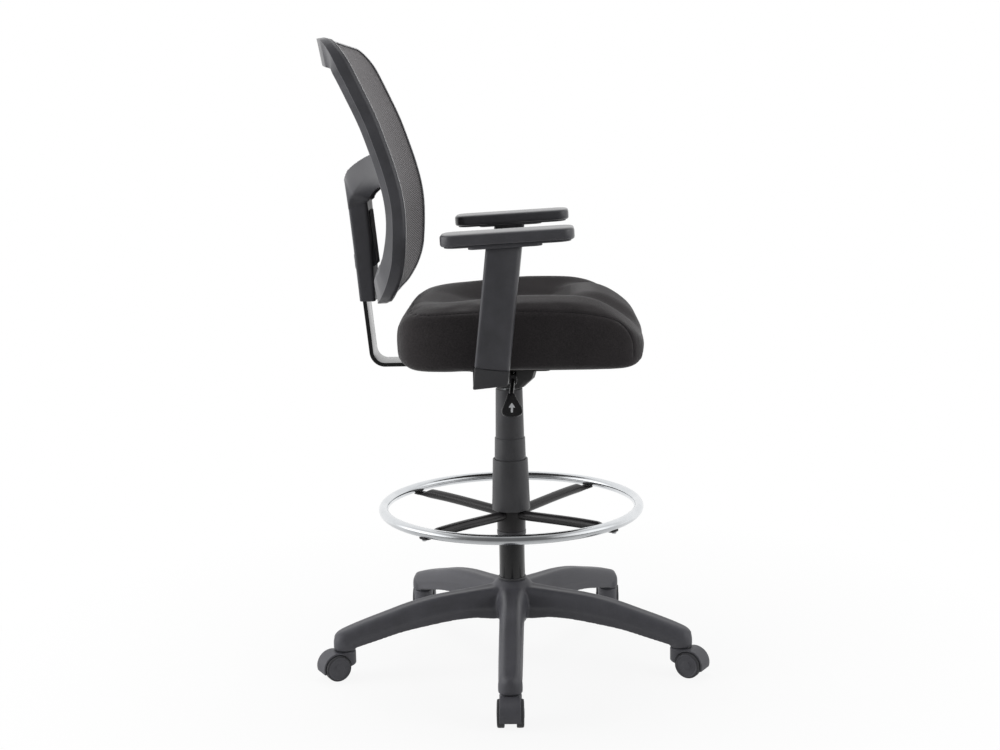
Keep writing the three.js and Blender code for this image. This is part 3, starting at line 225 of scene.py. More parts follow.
def spline(points, steps=8):
    """Points on a smooth curve through the given ones."""
    points = [Vector(p) for p in points]
    padded = [2 * points[0] - points[1], *points, 2 * points[-1] - points[-2]]
    curve = []
    for i in range(1, len(padded) - 2):
        a, b, c, d = padded[i - 1 : i + 3]
        for k in range(steps):
            t = k / steps
            curve.append(0.5 * (2 * b + (c - a) * t + (2 * a - 5 * b + 4 * c - d) * t**2
                                + (3 * b - a - 3 * c + d) * t**3))
    return [*curve, points[-1]]

# %% Modifiers, applied at once
def apply_modifiers(piece):
    """The piece's mesh becomes what its modifiers show."""
    graph = bpy.context.evaluated_depsgraph_get()
    mesh = bpy.data.meshes.new_from_object(piece.evaluated_get(graph), depsgraph=graph)
    piece.modifiers.clear()
    old, piece.data = piece.data, mesh
    bpy.data.meshes.remove(old)
    return piece


def modify(piece, kind, **settings):
    """One modifier with its settings, added and applied."""
    modifier = piece.modifiers.new(kind.title(), kind)
    for key, value in settings.items():
        setattr(modifier, key, value)
    return apply_modifiers(piece)


def smooth(piece, angle=38):
    """Smooth shading, with edges kept crisp where they turn by more than the angle."""
    piece.data.shade_smooth()
    piece.data.set_sharp_from_angle(angle=math.radians(angle))
    return piece


def softened(piece, width, segments=3, angle=32):
    """Rounded edges, and shading that keeps the flat faces flat."""
    modify(piece, "BEVEL", width=width * MM, segments=segments, limit_method="ANGLE",
           angle_limit=math.radians(angle), use_clamp_overlap=True)
    piece.data.shade_smooth()
    return modify(piece, "WEIGHTED_NORMAL", keep_sharp=False, weight=60)


def join(name, pieces):
    """One object from several."""
    mesh = bpy.data.meshes.new(name)
    with edited(mesh) as edit:
        for piece in pieces:
            edit.from_mesh(piece.data)
            bpy.data.objects.remove(piece)
    return shown(name, mesh)


def carve(piece, *tools, operation="DIFFERENCE"):
    """The piece with the tools' shapes cut out of it, or added to it."""
    for tool in tools:
        modify(piece, "BOOLEAN", operation=operation, object=tool, solver="EXACT")
        bpy.data.objects.remove(tool)
    return piece


def drill(x, y, low, high, radius=3.5):
    """The shape of a screw's hole, to carve with."""
    return revolve("hole", [(0, low), (radius, low), (radius, high), (0, high)], 24, at(x, y, 0))


def fused(name, pieces, voxel, passes):
    """Overlapping solids melted into one moulding: remeshed, then relaxed so that their joins blend."""
    piece = join(name, pieces)
    modify(piece, "REMESH", mode="VOXEL", voxel_size=voxel * MM)
    modify(piece, "SMOOTH", factor=0.5, iterations=passes)
    piece.data.shade_smooth()
    return piece


def from_frame(name, node, width=0.8, angle=32):
    """A copy of a CAD node with its flat faces whole again and its edges rounded."""
    piece = shown(name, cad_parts[node].data.copy())
    with edited(piece.data) as edit:
        bmesh.ops.remove_doubles(edit, verts=edit.verts, dist=1e-6)
        bmesh.ops.dissolve_limit(edit, angle_limit=math.radians(1.5), verts=edit.verts, edges=edit.edges)
    return softened(piece, width, angle=angle)

# %% [markdown]
# ## Geometry Nodes for what repeats
# Legs, spokes and screws stand in a ring, and stitches follow a seam. A node tree with named inputs
# makes each row from one shape, so a count or a spacing is one number. The result becomes a plain
# mesh, because instances don't leave Blender.

# %% A node, in one call
def add(tree, kind, inputs=None, **settings):
    """One node with its settings; an input is a value, or another node's output to link."""
    node = tree.nodes.new(kind)
    for key, value in settings.items():
        setattr(node, key, value)
    for key, value in (inputs or {}).items():
        if isinstance(value, bpy.types.NodeSocket):
            tree.links.new(value, node.inputs[key])
        else:
            node.inputs[key].default_value = value
    return node


def new_tree(name, **inputs):
    """An empty geometry tree, with a geometry input, the named inputs and a geometry output."""
    tree = bpy.data.node_groups.new(name, "GeometryNodeTree")
    tree.interface.new_socket("Geometry", in_out="INPUT", socket_type="NodeSocketGeometry")
    for label, kind in inputs.items():
        tree.interface.new_socket(label.replace("_", " "), in_out="INPUT", socket_type=kind)
    tree.interface.new_socket("Geometry", in_out="OUTPUT", socket_type="NodeSocketGeometry")
    return tree


def grow(name, seed, tree, **values):
    """Runs a geometry tree on the seed object and keeps the result as a plain mesh."""
    modifier = seed.modifiers.new(tree.name, "NODES")
    modifier.node_group = tree
    sockets = {s.name: s.identifier for s in tree.interface.items_tree if s.in_out == "INPUT"}
    for label, value in values.items():
        modifier[sockets[label.replace("_", " ")]] = value
    apply_modifiers(seed)
    seed.name = seed.data.name = name
    return seed

# %% A ring of copies
def ring_tree():
    """Copies of a shape, turned about Z in equal steps from a first angle."""
    tree = new_tree("Ring of copies", Count="NodeSocketInt", First_angle="NodeSocketFloat",
                    Finish="NodeSocketMaterial")
    given = add(tree, "NodeGroupInput")
    points = add(tree, "GeometryNodeMeshLine", {"Count": given.outputs["Count"], "Offset": (0, 0, 0)})
    index = add(tree, "GeometryNodeInputIndex")
    step = add(tree, "ShaderNodeMath", {0: 2 * math.pi, 1: given.outputs["Count"]}, operation="DIVIDE")
    angle = add(tree, "ShaderNodeMath", {0: index.outputs[0], 1: step.outputs[0], 2: given.outputs["First angle"]},
                operation="MULTIPLY_ADD")
    spin = add(tree, "ShaderNodeCombineXYZ", {"Z": angle.outputs[0]})
    copies = add(tree, "GeometryNodeInstanceOnPoints", {"Points": points.outputs[0], "Instance": given.outputs[0],
                                                        "Rotation": spin.outputs[0]})
    real = add(tree, "GeometryNodeRealizeInstances", {0: copies.outputs[0]})
    finish = add(tree, "GeometryNodeSetMaterial", {"Geometry": real.outputs[0], "Material": given.outputs["Finish"]})
    add(tree, "NodeGroupOutput", {0: finish.outputs[0]})
    return tree


RING = ring_tree()


def ring_of(name, shape, count, first_degrees, finish):
    return grow(name, shape, RING, Count=count, First_angle=math.radians(first_degrees), Finish=finish)

# %% A row of stitches along a seam
def stitch_tree():
    """Short fat threads laid end to end along the seed's edges, a little above the cloth."""
    tree = new_tree("Stitches", Pitch="NodeSocketFloat", Thread="NodeSocketFloat", Share="NodeSocketFloat",
                    Finish="NodeSocketMaterial")
    given = add(tree, "NodeGroupInput")
    curve = add(tree, "GeometryNodeMeshToCurve", {0: given.outputs[0]})
    even = add(tree, "GeometryNodeResampleCurve", {"Curve": curve.outputs[0], "Length": given.outputs["Pitch"]},
               mode="LENGTH")
    tangent = add(tree, "GeometryNodeInputTangent")
    aim = add(tree, "FunctionNodeAlignRotationToVector", {"Vector": tangent.outputs[0]}, axis="Z")
    length = add(tree, "ShaderNodeMath", {0: given.outputs["Pitch"], 1: given.outputs["Share"]}, operation="MULTIPLY")
    size = add(tree, "ShaderNodeCombineXYZ", {"X": given.outputs["Thread"], "Y": given.outputs["Thread"],
                                              "Z": length.outputs[0]})
    bead = add(tree, "GeometryNodeMeshUVSphere", {"Segments": 8, "Rings": 6, "Radius": 0.5})
    row = add(tree, "GeometryNodeInstanceOnPoints", {"Points": even.outputs[0], "Instance": bead.outputs[0],
                                                     "Rotation": aim.outputs[0], "Scale": size.outputs[0]})
    real = add(tree, "GeometryNodeRealizeInstances", {0: row.outputs[0]})
    shade = add(tree, "GeometryNodeSetShadeSmooth", {0: real.outputs[0]})
    finish = add(tree, "GeometryNodeSetMaterial", {"Geometry": shade.outputs[0], "Material": given.outputs["Finish"]})
    add(tree, "NodeGroupOutput", {0: finish.outputs[0]})
    return tree


STITCHES = stitch_tree()


def stitched(name, path, pitch, thread, finish, share=0.72):
    """A row of stitches along a path given in millimetres."""
    mesh = bpy.data.meshes.new(name)
    mesh.from_pydata([[c * MM for c in p] for p in path], [(i, i + 1) for i in range(len(path) - 1)], [])
    return grow(name, shown(name, mesh), STITCHES, Pitch=pitch * MM, Thread=thread * MM, Share=share, Finish=finish)

# %% [markdown]
# ## Finishes
# Nothing on a real chair is one flat colour. Moulded plastic carries the fine grain of its tool,
# lacquer shows a slight orange peel, and cloth shows its threads. Every finish below starts from
# the material's usual colour, IOR and roughness, and adds that detail with noise or waves whose
# sizes are worked out in millimetres from Object coordinates, so a pattern keeps its scale on
# every piece.

# %% Colours and the node recipe that the plastics share
def srgb(code):
    """A colour written as #rrggbb, in the linear light that shaders mix."""
    parts = [int(code[i : i + 2], 16) / 255 for i in (1, 3, 5)]
    return (*(p / 12.92 if p <= 0.04045 else ((p + 0.055) / 1.055) ** 2.4 for p in parts), 1.0)


def new_finish(name, **shader):
    """A material with a Principled shader; returns the material, its tree, the shader and the position in mm."""
    material = bpy.data.materials.new(name)
    material.use_nodes = True
    tree = material.node_tree
    tree.nodes.clear()
    inputs = {key.replace("_", " "): value for key, value in shader.items()}
    principled = add(tree, "ShaderNodeBsdfPrincipled", inputs)
    add(tree, "ShaderNodeOutputMaterial", {"Surface": principled.outputs[0]})
    place = add(tree, "ShaderNodeTexCoord")
    scale = add(tree, "ShaderNodeVectorMath", {0: place.outputs["Object"], "Scale": 1 / MM}, operation="SCALE")
    return material, tree, principled, scale.outputs[0]


def mixed(tree, factor, dark, light):
    """The output of a colour mix."""
    colours = [c if isinstance(c, bpy.types.NodeSocket) else srgb(c) for c in (dark, light)]
    node = add(tree, "ShaderNodeMix", {0: factor, 6: colours[0], 7: colours[1]}, data_type="RGBA")
    return node.outputs[2]


def ranged(tree, value, low, high, out_low, out_high):
    node = add(tree, "ShaderNodeMapRange", {"Value": value, "From Min": low, "From Max": high,
                                            "To Min": out_low, "To Max": out_high})
    return node.outputs[0]


def moulded(name, dark, light, roughness, grain_mm, relief_mm, cloud_mm=45.0, **shader):
    """Plastic or lacquer: a soft cloud in its colour and gloss, and a fine raised grain."""
    material, tree, principled, place = new_finish(name, **shader)
    cloud = add(tree, "ShaderNodeTexNoise", {"Vector": place, "Scale": 1 / cloud_mm, "Detail": 4.0, "Roughness": 0.6})
    grain = add(tree, "ShaderNodeTexNoise", {"Vector": place, "Scale": 1 / grain_mm, "Detail": 2.0})
    fleck = ranged(tree, grain.outputs[0], 0.35, 0.65, 0.0, 1.0)
    blend = add(tree, "ShaderNodeMath", {0: fleck, 1: 0.3, 2: cloud.outputs[0]}, operation="MULTIPLY_ADD")
    tree.links.new(mixed(tree, ranged(tree, blend.outputs[0], 0.35, 0.95, 0.0, 1.0), dark, light),
                   principled.inputs["Base Color"])
    tree.links.new(ranged(tree, cloud.outputs[0], 0.3, 0.7, roughness - 0.04, roughness + 0.05),
                   principled.inputs["Roughness"])
    relief = add(tree, "ShaderNodeBump", {"Height": grain.outputs[0], "Distance": relief_mm * MM, "Strength": 1.0})
    tree.links.new(relief.outputs[0], principled.inputs["Normal"])
    return material

# %% The hard finishes
# Glass-filled nylon from a spark-eroded tool: dark grey, faintly sparkling, more satin than matt.
NYLON = moulded("moulded nylon", "#3c3c40", "#4a4a4f", 0.46, 1.1, 0.05)
# The same family of plastic on the back and arms, from a smoother tool: it mirrors bright surroundings softly.
FRAME_PLASTIC = moulded("satin frame plastic", "#39393c", "#454549", 0.36, 0.9, 0.025)
# Polypropylene, as on telescoping covers: flat and a little waxy.
POLYPROPYLENE = moulded("satin polypropylene", "#343436", "#3f3f41", 0.4, 1.3, 0.03)
# Powder-coated steel: near black, glossy, with a slight orange peel.
BLACK_STEEL = moulded("black powder-coated steel", "#101011", "#19191a", 0.22, 3.0, 0.03,
                      Coat_Weight=0.35, Coat_Roughness=0.12)
# The arm brackets carry a greyer, satin powder coat.
BRACKET_COAT = moulded("satin charcoal powder coat", "#333335", "#3e3e40", 0.38, 2.0, 0.03)
# Slides on the bar inside the spine: acetal, near black and dull.
ACETAL = moulded("black acetal", "#151516", "#1c1c1d", 0.6, 1.5, 0.03, Specular_IOR_Level=0.25)
# The strip along the front of the rim's lip, where the woven sheet is tucked in: light grey, a painted highlight that
# stands for the light the lip's rounded front edge catches.
LIP_HIGHLIGHT_GREY = moulded("grey edge strip", "#9c9c9e", "#a9a9ab", 0.35, 1.5, 0.02)
# Stoved enamel on the spokes: black with a brown cast, satin.
SPOKE_ENAMEL = moulded("satin black enamel", "#19181a", "#252324", 0.3, 2.6, 0.03)
# Integral-skin polyurethane: a soft grip with a fine leather-like grain.
SKIN_FOAM = moulded("polyurethane skin foam", "#39393c", "#454549", 0.32, 1.6, 0.04,
                     Coat_Weight=0.35, Coat_Roughness=0.25)
# Hard polyurethane tread: dark, dull, dusty where it rolls.
TREAD = moulded("polyurethane tread", "#2c2c2e", "#3b3b3d", 0.62, 1.4, 0.06)


def polished(name, colour, roughness, scratch_mm):
    """Bare metal: one bright colour, with fine marks that only stir its gloss."""
    material, tree, principled, place = new_finish(name, Metallic=1.0, Base_Color=srgb(colour))
    marks = add(tree, "ShaderNodeTexNoise", {"Vector": place, "Scale": 1 / scratch_mm, "Detail": 5.0, "Roughness": 0.7})
    tree.links.new(ranged(tree, marks.outputs[0], 0.3, 0.75, roughness * 0.6, roughness * 1.6),
                   principled.inputs["Roughness"])
    tree.links.new(mixed(tree, ranged(tree, marks.outputs[0], 0.3, 0.7, 0.0, 1.0), colour, "#e6e8ea"),
                   principled.inputs["Base Color"])
    return material


# Bright chromium over polished steel: nearly a mirror.
CHROME = polished("polished chrome", "#d2d5d8", 0.14, 60.0)
# Zinc-plated screws and axles: bright, but softly so.
ZINC = polished("bright zinc plate", "#b9bcbf", 0.3, 3.0)
print("finishes:", [m.name for m in bpy.data.materials if m.use_nodes][:12])

# %% [markdown]
# ## The five-leg base
# A chair base is moulded in one shot: arms that flare out of a conical hub, a shallow valley along
# each arm's top, and a round socket for a caster at its tip. One arm is lofted from sections that
# change along its length, Geometry Nodes set five of them round the hub, and a voxel remesh melts
# all of it into one skin with the soft joins that a mould leaves.

# %% One arm of the base
LEG_COUNT, STEM_CIRCLE, SOCKET_BOTTOM = 5, 337.0, 55.0
leg_top = through([(0, 153), (92, 146), (157, 140.5), (205, 132), (257, 118), (300, 106), (337, 94), (350, 88.5),
                   (357, 83)])
leg_bottom = through([(0, 87), (50, 89), (88, 93), (130, 92), (170, 88), (230, 80), (270, 71), (313, 61), (337, 56),
                      (350, 57), (357, 62)])
leg_half = through([(0, 36), (45, 30), (80, 25.5), (140, 24), (300, 22.5), (337, 21.5), (347, 18), (353, 13.5),
                    (357, 8)])


def leg_section(r):
    """An inset skirt, a bulged flank, and two rounded shoulders beside the valley."""
    a, top, bottom = leg_half(r), leg_top(r), leg_bottom(r)
    h, valley = top - bottom, 3.2 * (1 - r / 357)
    half = [(a - 3, bottom), (a - 2.4, bottom + 0.3 * h), (a, bottom + 0.38 * h), (a - 3, top - 0.2 * h),
            (0.55 * a, top)]
    outline = [*half, (0, top - valley), *[(-x, z) for x, z in reversed(half)]]
    radii = [1.5, 2, 4, 9, 9, 12, 9, 9, 4, 2, 1.5]
    return [Vector((r, x, z)) for x, z in fillet(outline, radii, 4)]


def make_base():
    arm = loft("arm", [leg_section(r) for r in [*np.linspace(10, STEM_CIRCLE, 48), 343, 348, 352, 355, 357]])
    low = SOCKET_BOTTOM
    socket = revolve("socket", fillet([(0, low), (22, low), (22, low + 20), (15, low + 34), (0, low + 36)],
                                      [0, 1.5, 7, 9, 0], 5), 48, at(STEM_CIRCLE, 0, 0))
    arms = ring_of("arms", join("arm and socket", [arm, socket]), LEG_COUNT, 180, NYLON)
    hub = revolve("hub", fillet([(0, 87), (42, 87), (44, 137), (37, 153), (28.5, 161), (0, 161)],
                                [0, 2, 7, 9, 3, 0], 5), 96)
    base = fused("base_star", [arms, hub], 2.3, 5)
    return carve(base, revolve("bore", [(0, 84), (25.3, 84), (25.3, 166), (0, 166)], 64))


base_star = make_base()
base_star.data.shade_smooth()
print("base:", len(base_star.data.polygons), "faces")

# %% [markdown]
# ## Casters
# Each caster is a hood with a web down its middle, a turned neck that holds the stem, and two wheels
# on one axle. The hood comes from a drum with two pockets and a slanted mouth cut out of it. The
# wheels and hoods are different bodies of the chair, so they stay separate pieces.

# %% The hood and the wheel, once
WHEEL_R, WHEEL_W, WHEEL_INNER, TRAIL, HOOD_WALL = 25.0, 14.0, 10.5, 23.0, 3.0
HOOD_R = WHEEL_R + 0.5 + 0.7 + HOOD_WALL
HOOD_HALF, NECK_TOP = 19.0, SOCKET_BOTTOM - 1.5
AXLE = at(TRAIL, 0, WHEEL_R) @ turn("X", -90)  # the axle's own frame: its Z runs along the chair's Y


def make_hood():
    barrel = revolve("hood", fillet([(0, -HOOD_HALF), (HOOD_R, -HOOD_HALF), (HOOD_R, HOOD_HALF), (0, HOOD_HALF)],
                                    [0, 2.2, 2.2, 0], 4), 72, AXLE)
    neck = revolve("neck", fillet([(0, 25), (20, 25), (20, NECK_TOP - 3), (18, NECK_TOP), (0, NECK_TOP)],
                                  [0, 0, 1.5, 1.5, 0], 3), 64)
    inner = HOOD_R - HOOD_WALL
    pockets = [revolve("pocket", [(0, WHEEL_INNER - 0.5), (inner, WHEEL_INNER - 0.5), (inner, 40), (0, 40)], 72,
                       at(TRAIL, 0, WHEEL_R) @ turn("X", angle)) for angle in (-90, 90)]
    mouth = raised("mouth", [(-60, -60), (TRAIL + 60, -60), (TRAIL + 60, 12), (TRAIL, 20), (-60, 36)], 80,
                   at(0, 40, 0) @ turn("X", 90))
    hood = carve(carve(barrel, neck, operation="UNION"), *pockets, mouth)
    web_half = WHEEL_INNER - 0.6
    web = revolve("web", [(0, -web_half), (11, -web_half), (11, web_half), (0, web_half)], 48, AXLE)
    carve(hood, web, operation="UNION")
    with edited(hood.data) as edit:
        bmesh.ops.remove_doubles(edit, verts=edit.verts, dist=2e-5)
        bmesh.ops.dissolve_limit(edit, angle_limit=math.radians(1), verts=edit.verts, edges=edit.edges)
    return softened(hood, 0.7, 2, 35)


def make_wheel():
    """The wheel's disc: a shallow dish round a raised hub cap, seen from outside."""
    r = WHEEL_R - 2.2
    profile = [(4.3, 0), (8, 0), (8, 6), (r - 4, 7.5), (r - 4, 0.6), (r, 0.6), (r, WHEEL_W - 1.2),
               (r - 2.2, WHEEL_W - 0.4), (r - 4.2, WHEEL_W - 1.8), (9.5, WHEEL_W - 0.9), (8.3, WHEEL_W), (0, WHEEL_W),
               (0, WHEEL_W - 4), (4.3, WHEEL_W - 4)]
    radii = [0.3, 0.6, 1, 1, 0.5, 0.4, 0.9, 0.8, 1, 0.8, 0.8, 0, 0, 0.3]
    return smooth(revolve("wheel", fillet(profile, radii, 3), 72), 50)


def make_tread():
    r = WHEEL_R
    profile = [(r - 2.1, 0.4), (r - 0.8, 0.2), (r, 1.6), (r, WHEEL_W - 3), (r - 1.3, WHEEL_W - 0.9),
               (r - 2.1, WHEEL_W - 1.0)]
    return smooth(revolve("tread", fillet(profile, [0.2, 0.6, 1.2, 1.2, 0.5, 0.2], 3), 72), 50)

# %% Five of them, each turned its own way
def copy_at(name, shape, place):
    """A copy of a shape, its place written into its mesh."""
    matrix = place.copy()
    matrix.translation = matrix.translation * MM
    mesh = shape.data.copy()
    mesh.transform(matrix)
    if matrix.determinant() < 0:
        mesh.flip_normals()
    return shown(name, mesh)


def finish_piece(piece, material, body, slot, *nodes):
    """Hangs a piece on its body with its finish, and hides the CAD nodes it stands for."""
    if not piece.data.materials:
        piece.data.materials.append(material)
    for i in range(len(piece.data.materials)):
        piece.data.materials[i] = piece.data.materials[i] or material
    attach(piece, body)
    if nodes:
        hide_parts(*nodes)
    return piece


CASTER_TURN = [0, -12, 34, -36, 12]  # how far each caster stands turned from straight out, degrees
hood, wheel, tread = make_hood(), make_wheel(), make_tread()
for number, extra in enumerate(CASTER_TURN, 1):
    out = 180 + (number - 1) * 360 / LEG_COUNT
    stand = turn("Z", out) @ at(STEM_CIRCLE, 0, 0) @ turn("Z", extra)
    tag = f"caster_{number}"
    finish_piece(copy_at(f"{tag}_hood", hood, stand), NYLON, tag, "nylon", f"{tag}_housing")
    for side, angle in (("left", -90), ("right", 90)):
        sign = 1 if side == "left" else -1
        place = stand @ at(TRAIL, sign * WHEEL_INNER, WHEEL_R) @ turn("X", angle)
        finish_piece(copy_at(f"{tag}_disc_{side}", wheel, place), NYLON, f"{tag}_wheel_{side}", "nylon",
                     f"{tag}_wheel_{side}")
        finish_piece(copy_at(f"{tag}_tread_{side}", tread, place), TREAD, f"{tag}_wheel_{side}", "tread")
for shape in (hood, wheel, tread):
    bpy.data.objects.remove(shape)
finish_piece(base_star, NYLON, "base", "nylon", "star_base")
print("casters:", len(CASTER_TURN))

# %% [markdown]
# ## The column and its covers
# Everything here is turned: a steel tube in the hub, a gas spring above it, and three slightly
# conical covers that slide into each other. A profile with rounded corners, revolved in 96 steps,
# gives a clean outline and real wall thickness at every rim.

# %% Turned parts
def turned(name, profile, radii, material, body, slot, *nodes, place=Matrix.Identity(4)):
    piece = smooth(revolve(name, fillet(profile, radii, 4), 96, place), 40)
    return finish_piece(piece, material, body, slot, *nodes)


def cover_profile(bottom, top, bottom_d, top_d, wall=1.6, lip=2.6):
    """A thin cone whose rims turn in a little."""
    b, t = bottom_d / 2, top_d / 2
    return [(b, bottom), (t, top), (t - wall - 1.4, top), (t - wall - 1.4, top - lip), (t - wall, top - lip - 1.5),
            (b - wall, bottom)]


turned("column_shaft", [(21, 91), (24, 91), (25, 120), (25, 323), (22.6, 323), (21, 104)], [0, 1, 0, 0.6, 0.4, 0],
       BLACK_STEEL, "base", "black_steel", "column_tube")
turned("column_collar", [(25.2, 161.2), (27.4, 161.2), (27.4, 164), (26.6, 165), (25.2, 165)], [0, 0.3, 0.8, 0.6, 0],
       POLYPROPYLENE, "base", "frame_plastic", "hub_ring")
for name, body, low, high, low_d, high_d in [("lower", "base", 301, 401, 74.5, 68.0),
                                             ("middle", "cover_middle", 365, 443, 62.4, 58.8),
                                             ("upper", "lift", 437, 539, 55.8, 52.0)]:
    turned(f"cover_{name}_skin", cover_profile(low, high, low_d, high_d), [0.5, 1.3, 0.4, 0.3, 0.3, 0.3],
           POLYPROPYLENE, body, "cover_plastic", f"cover_{name}")
turned("cover_roof", [(14.4, 536), (24, 536), (24, 538.6), (14.4, 538.6)], [0, 0, 0.6, 0.3], POLYPROPYLENE,
       "lift", "cover_plastic")
turned("gas_spring", [(0, 229), (14, 229), (14, 550), (12.6, 580), (4.5, 580), (4.5, 585), (0, 585)],
       [0, 1, 0, 1, 0, 0.5, 0], CHROME, "seat", "chrome", "piston_tube")
print("column done")

# %% [markdown]
# ## The footring
# A bent chrome tube stands on four spokes. Each spoke is a tube pressed flat at its end and
# screwed up into the ring, so its section changes from a circle to a strip: a loft again. The ring
# tree from the base sets the four spokes and their screws at the same angles.

# %% Ring, spokes and screws
RING_R, RING_TUBE, RING_Z, SPOKE_FIRST, SPOKE_D = 248.0, 18.5, 307.0, 51.0, 19.0
RING_UNDER = RING_Z - RING_TUBE / 2
TAB_TOP, TAB_T, TAB_W = RING_UNDER - 0.3, 3.0, 24.0


def make_ring():
    rings = []
    for k in range(144):
        a = 2 * math.pi * k / 144
        ring = []
        for j in range(28):
            b = 2 * math.pi * j / 28
            r = RING_R + RING_TUBE / 2 * math.cos(b)
            ring.append(Vector((r * math.cos(a), r * math.sin(a), RING_Z + RING_TUBE / 2 * math.sin(b))))
        rings.append(ring)
    return smooth(loft("footring_tube", rings, closed=True), 60)


def make_spoke():
    tab_middle = TAB_TOP - TAB_T / 2
    axis = through([(26, 291), (RING_R - 40, TAB_TOP + 1.2), (RING_R - 14, tab_middle), (RING_R + 4, tab_middle)])
    rings = []
    for r in [*np.linspace(26, RING_R - 44, 14), *np.linspace(RING_R - 42, RING_R - 10, 18),
              *(RING_R + past for past in (-2, 2, 4))]:
        flat = smoothstep(r, RING_R - 40, RING_R - 14)
        width, height = lerp(SPOKE_D, TAB_W, flat), lerp(SPOKE_D, TAB_T, flat)
        if r > RING_R:
            width -= (r - RING_R) ** 2 * 0.5
        corner = min(width, height) / 2 - 0.02 if flat < 0.9 else 1.2
        rings.append([Vector((r, x, axis(r) + z)) for x, z in round_rect(width, height, corner, 7)])
    return smooth(loft("spoke", rings), 40)


def make_ring_screw():
    under = TAB_TOP - TAB_T
    head = fillet([(0, under - 3.6), (3.6, under - 3.4), (4.8, under - 1.4), (4.8, under - 0.1), (0, under - 0.1)],
                  [0, 1.4, 0.8, 0.2, 0], 3)
    screw = revolve("screw", head, 24, at(RING_R, 0, 0))
    slots = [raised("slot", [(-3, -0.6), (3, -0.6), (3, 0.6), (-3, 0.6)], 2.2,
                    at(RING_R, 0, under - 4.4) @ turn("Z", a)) for a in (20, 110)]
    return smooth(carve(screw, *slots), 35)


finish_piece(make_ring(), CHROME, "footring", "chrome", "footring_ring")
spokes = ring_of("footring_spokes", make_spoke(), 4, SPOKE_FIRST, SPOKE_ENAMEL)
finish_piece(smooth(spokes, 40), SPOKE_ENAMEL, "footring", "black_steel", "footring_frame")
screws = ring_of("footring_screws", make_ring_screw(), 4, SPOKE_FIRST, ZINC)
finish_piece(smooth(screws, 35), ZINC, "footring", "bright_steel", *[f"ring_screw_{i}" for i in range(1, 5)])
turned("footring_hub", [(25.6, 259), (27.8, 259), (27.8, 300.4), (25.6, 300.4)], [0.3, 0.7, 0.7, 0.3], SPOKE_ENAMEL,
       "footring", "black_steel")
turned("footring_grip", [(25.6, 249), (27.6, 249), (28.4, 251), (28.4, 258.6), (25.6, 258.6)],
       [0.3, 0.6, 0.8, 0.8, 0.3], POLYPROPYLENE, "footring", "frame_plastic", "footring_bush")
print("footring radius", RING_R, "mm")

# %% [markdown]
# ## The cushion
# Foam under a tight cloth cover: two soft bolsters run along the sides, the middle is sat in, and a
# raised hump closes it at the front before the waterfall edge. The starting form is lofted a little
# small, and a cloth simulation with pressure puffs it up the way a stuffed cover swells. The seams
# come after that, because a remesh would wipe them out.

# %% The cushion's form
CREST_X, CUSHION_LOW = 158.0, 608.1
crest = through([(-208, 652), (-204, 672), (-197, 690), (-185, 706), (-165, 716), (-126, 722), (-73, 727), (-20, 732),
                 (40, 736.5), (94, 736), (134, 733), (165, 725), (190, 713), (216, 695), (236, 677), (249, 660),
                 (256, 650)])
cushion_half = through([(-208, 95), (-204, 140), (-197, 174), (-185, 202), (-165, 223), (-120, 239), (-40, 243),
                        (110, 243), (160, 240), (200, 230), (228, 211), (241, 188), (250, 158), (256, 105)])
cushion_low = through([(-208, 37), (-203, 21), (-188, 7.5), (-150, 0), (205, 0), (232, 2), (247, 9), (256, 19)])
sunk = through([(-208, 0), (-180, 0), (-130, -7), (-60, -30), (60, -34), (89, -30), (120, -10), (150, 1), (182, 8),
                (216, 13), (240, 15), (256, 8)])
SEAM = [(-150, 710), (-60, 715), (24, 716.5), (118, 713.5), (164, 707), (193, 698), (209, 687), (218.5, 675),
        (225, 662), (228, 647), (228, 630)]  # forward, z
SWELL = 3.0  # the furthest that a point of the cloth moves when it is inflated
seam_height = through([(-208, 690), *SEAM[:7], (240, 660), (256, 640)])
channel = through([(-208, 0), (-60, 0), (70, 2), (120, 9), (215, 10), (256, 3)])  # between the hump and the bolsters


def cushion_section(forward):
    top, half, sink = crest(forward), cushion_half(forward), sunk(forward)
    bottom = CUSHION_LOW + cushion_low(forward)
    h = top - bottom
    edge = min(seam_height(forward), top - 0.08 * h)
    x = min(CREST_X, 0.66 * half)
    side = [(half - 0.24 * h, bottom), (half - 0.07 * h, bottom + 0.05 * h), (half, bottom + 0.26 * h),
            (half, edge - 0.16 * h), (half - 0.05 * h, edge), (half - 0.19 * h, lerp(edge, top, 0.52)), (x, top),
            (0.76 * x, top + 0.45 * sink - channel(forward)), (0.52 * x, top + sink), (0.2 * x, top + sink)]
    outline = [*side, *[(-px, z) for px, z in reversed(side)]]
    return [Vector((px, -forward, z)) for px, z in fillet(outline, 0.1 * h, 3)]


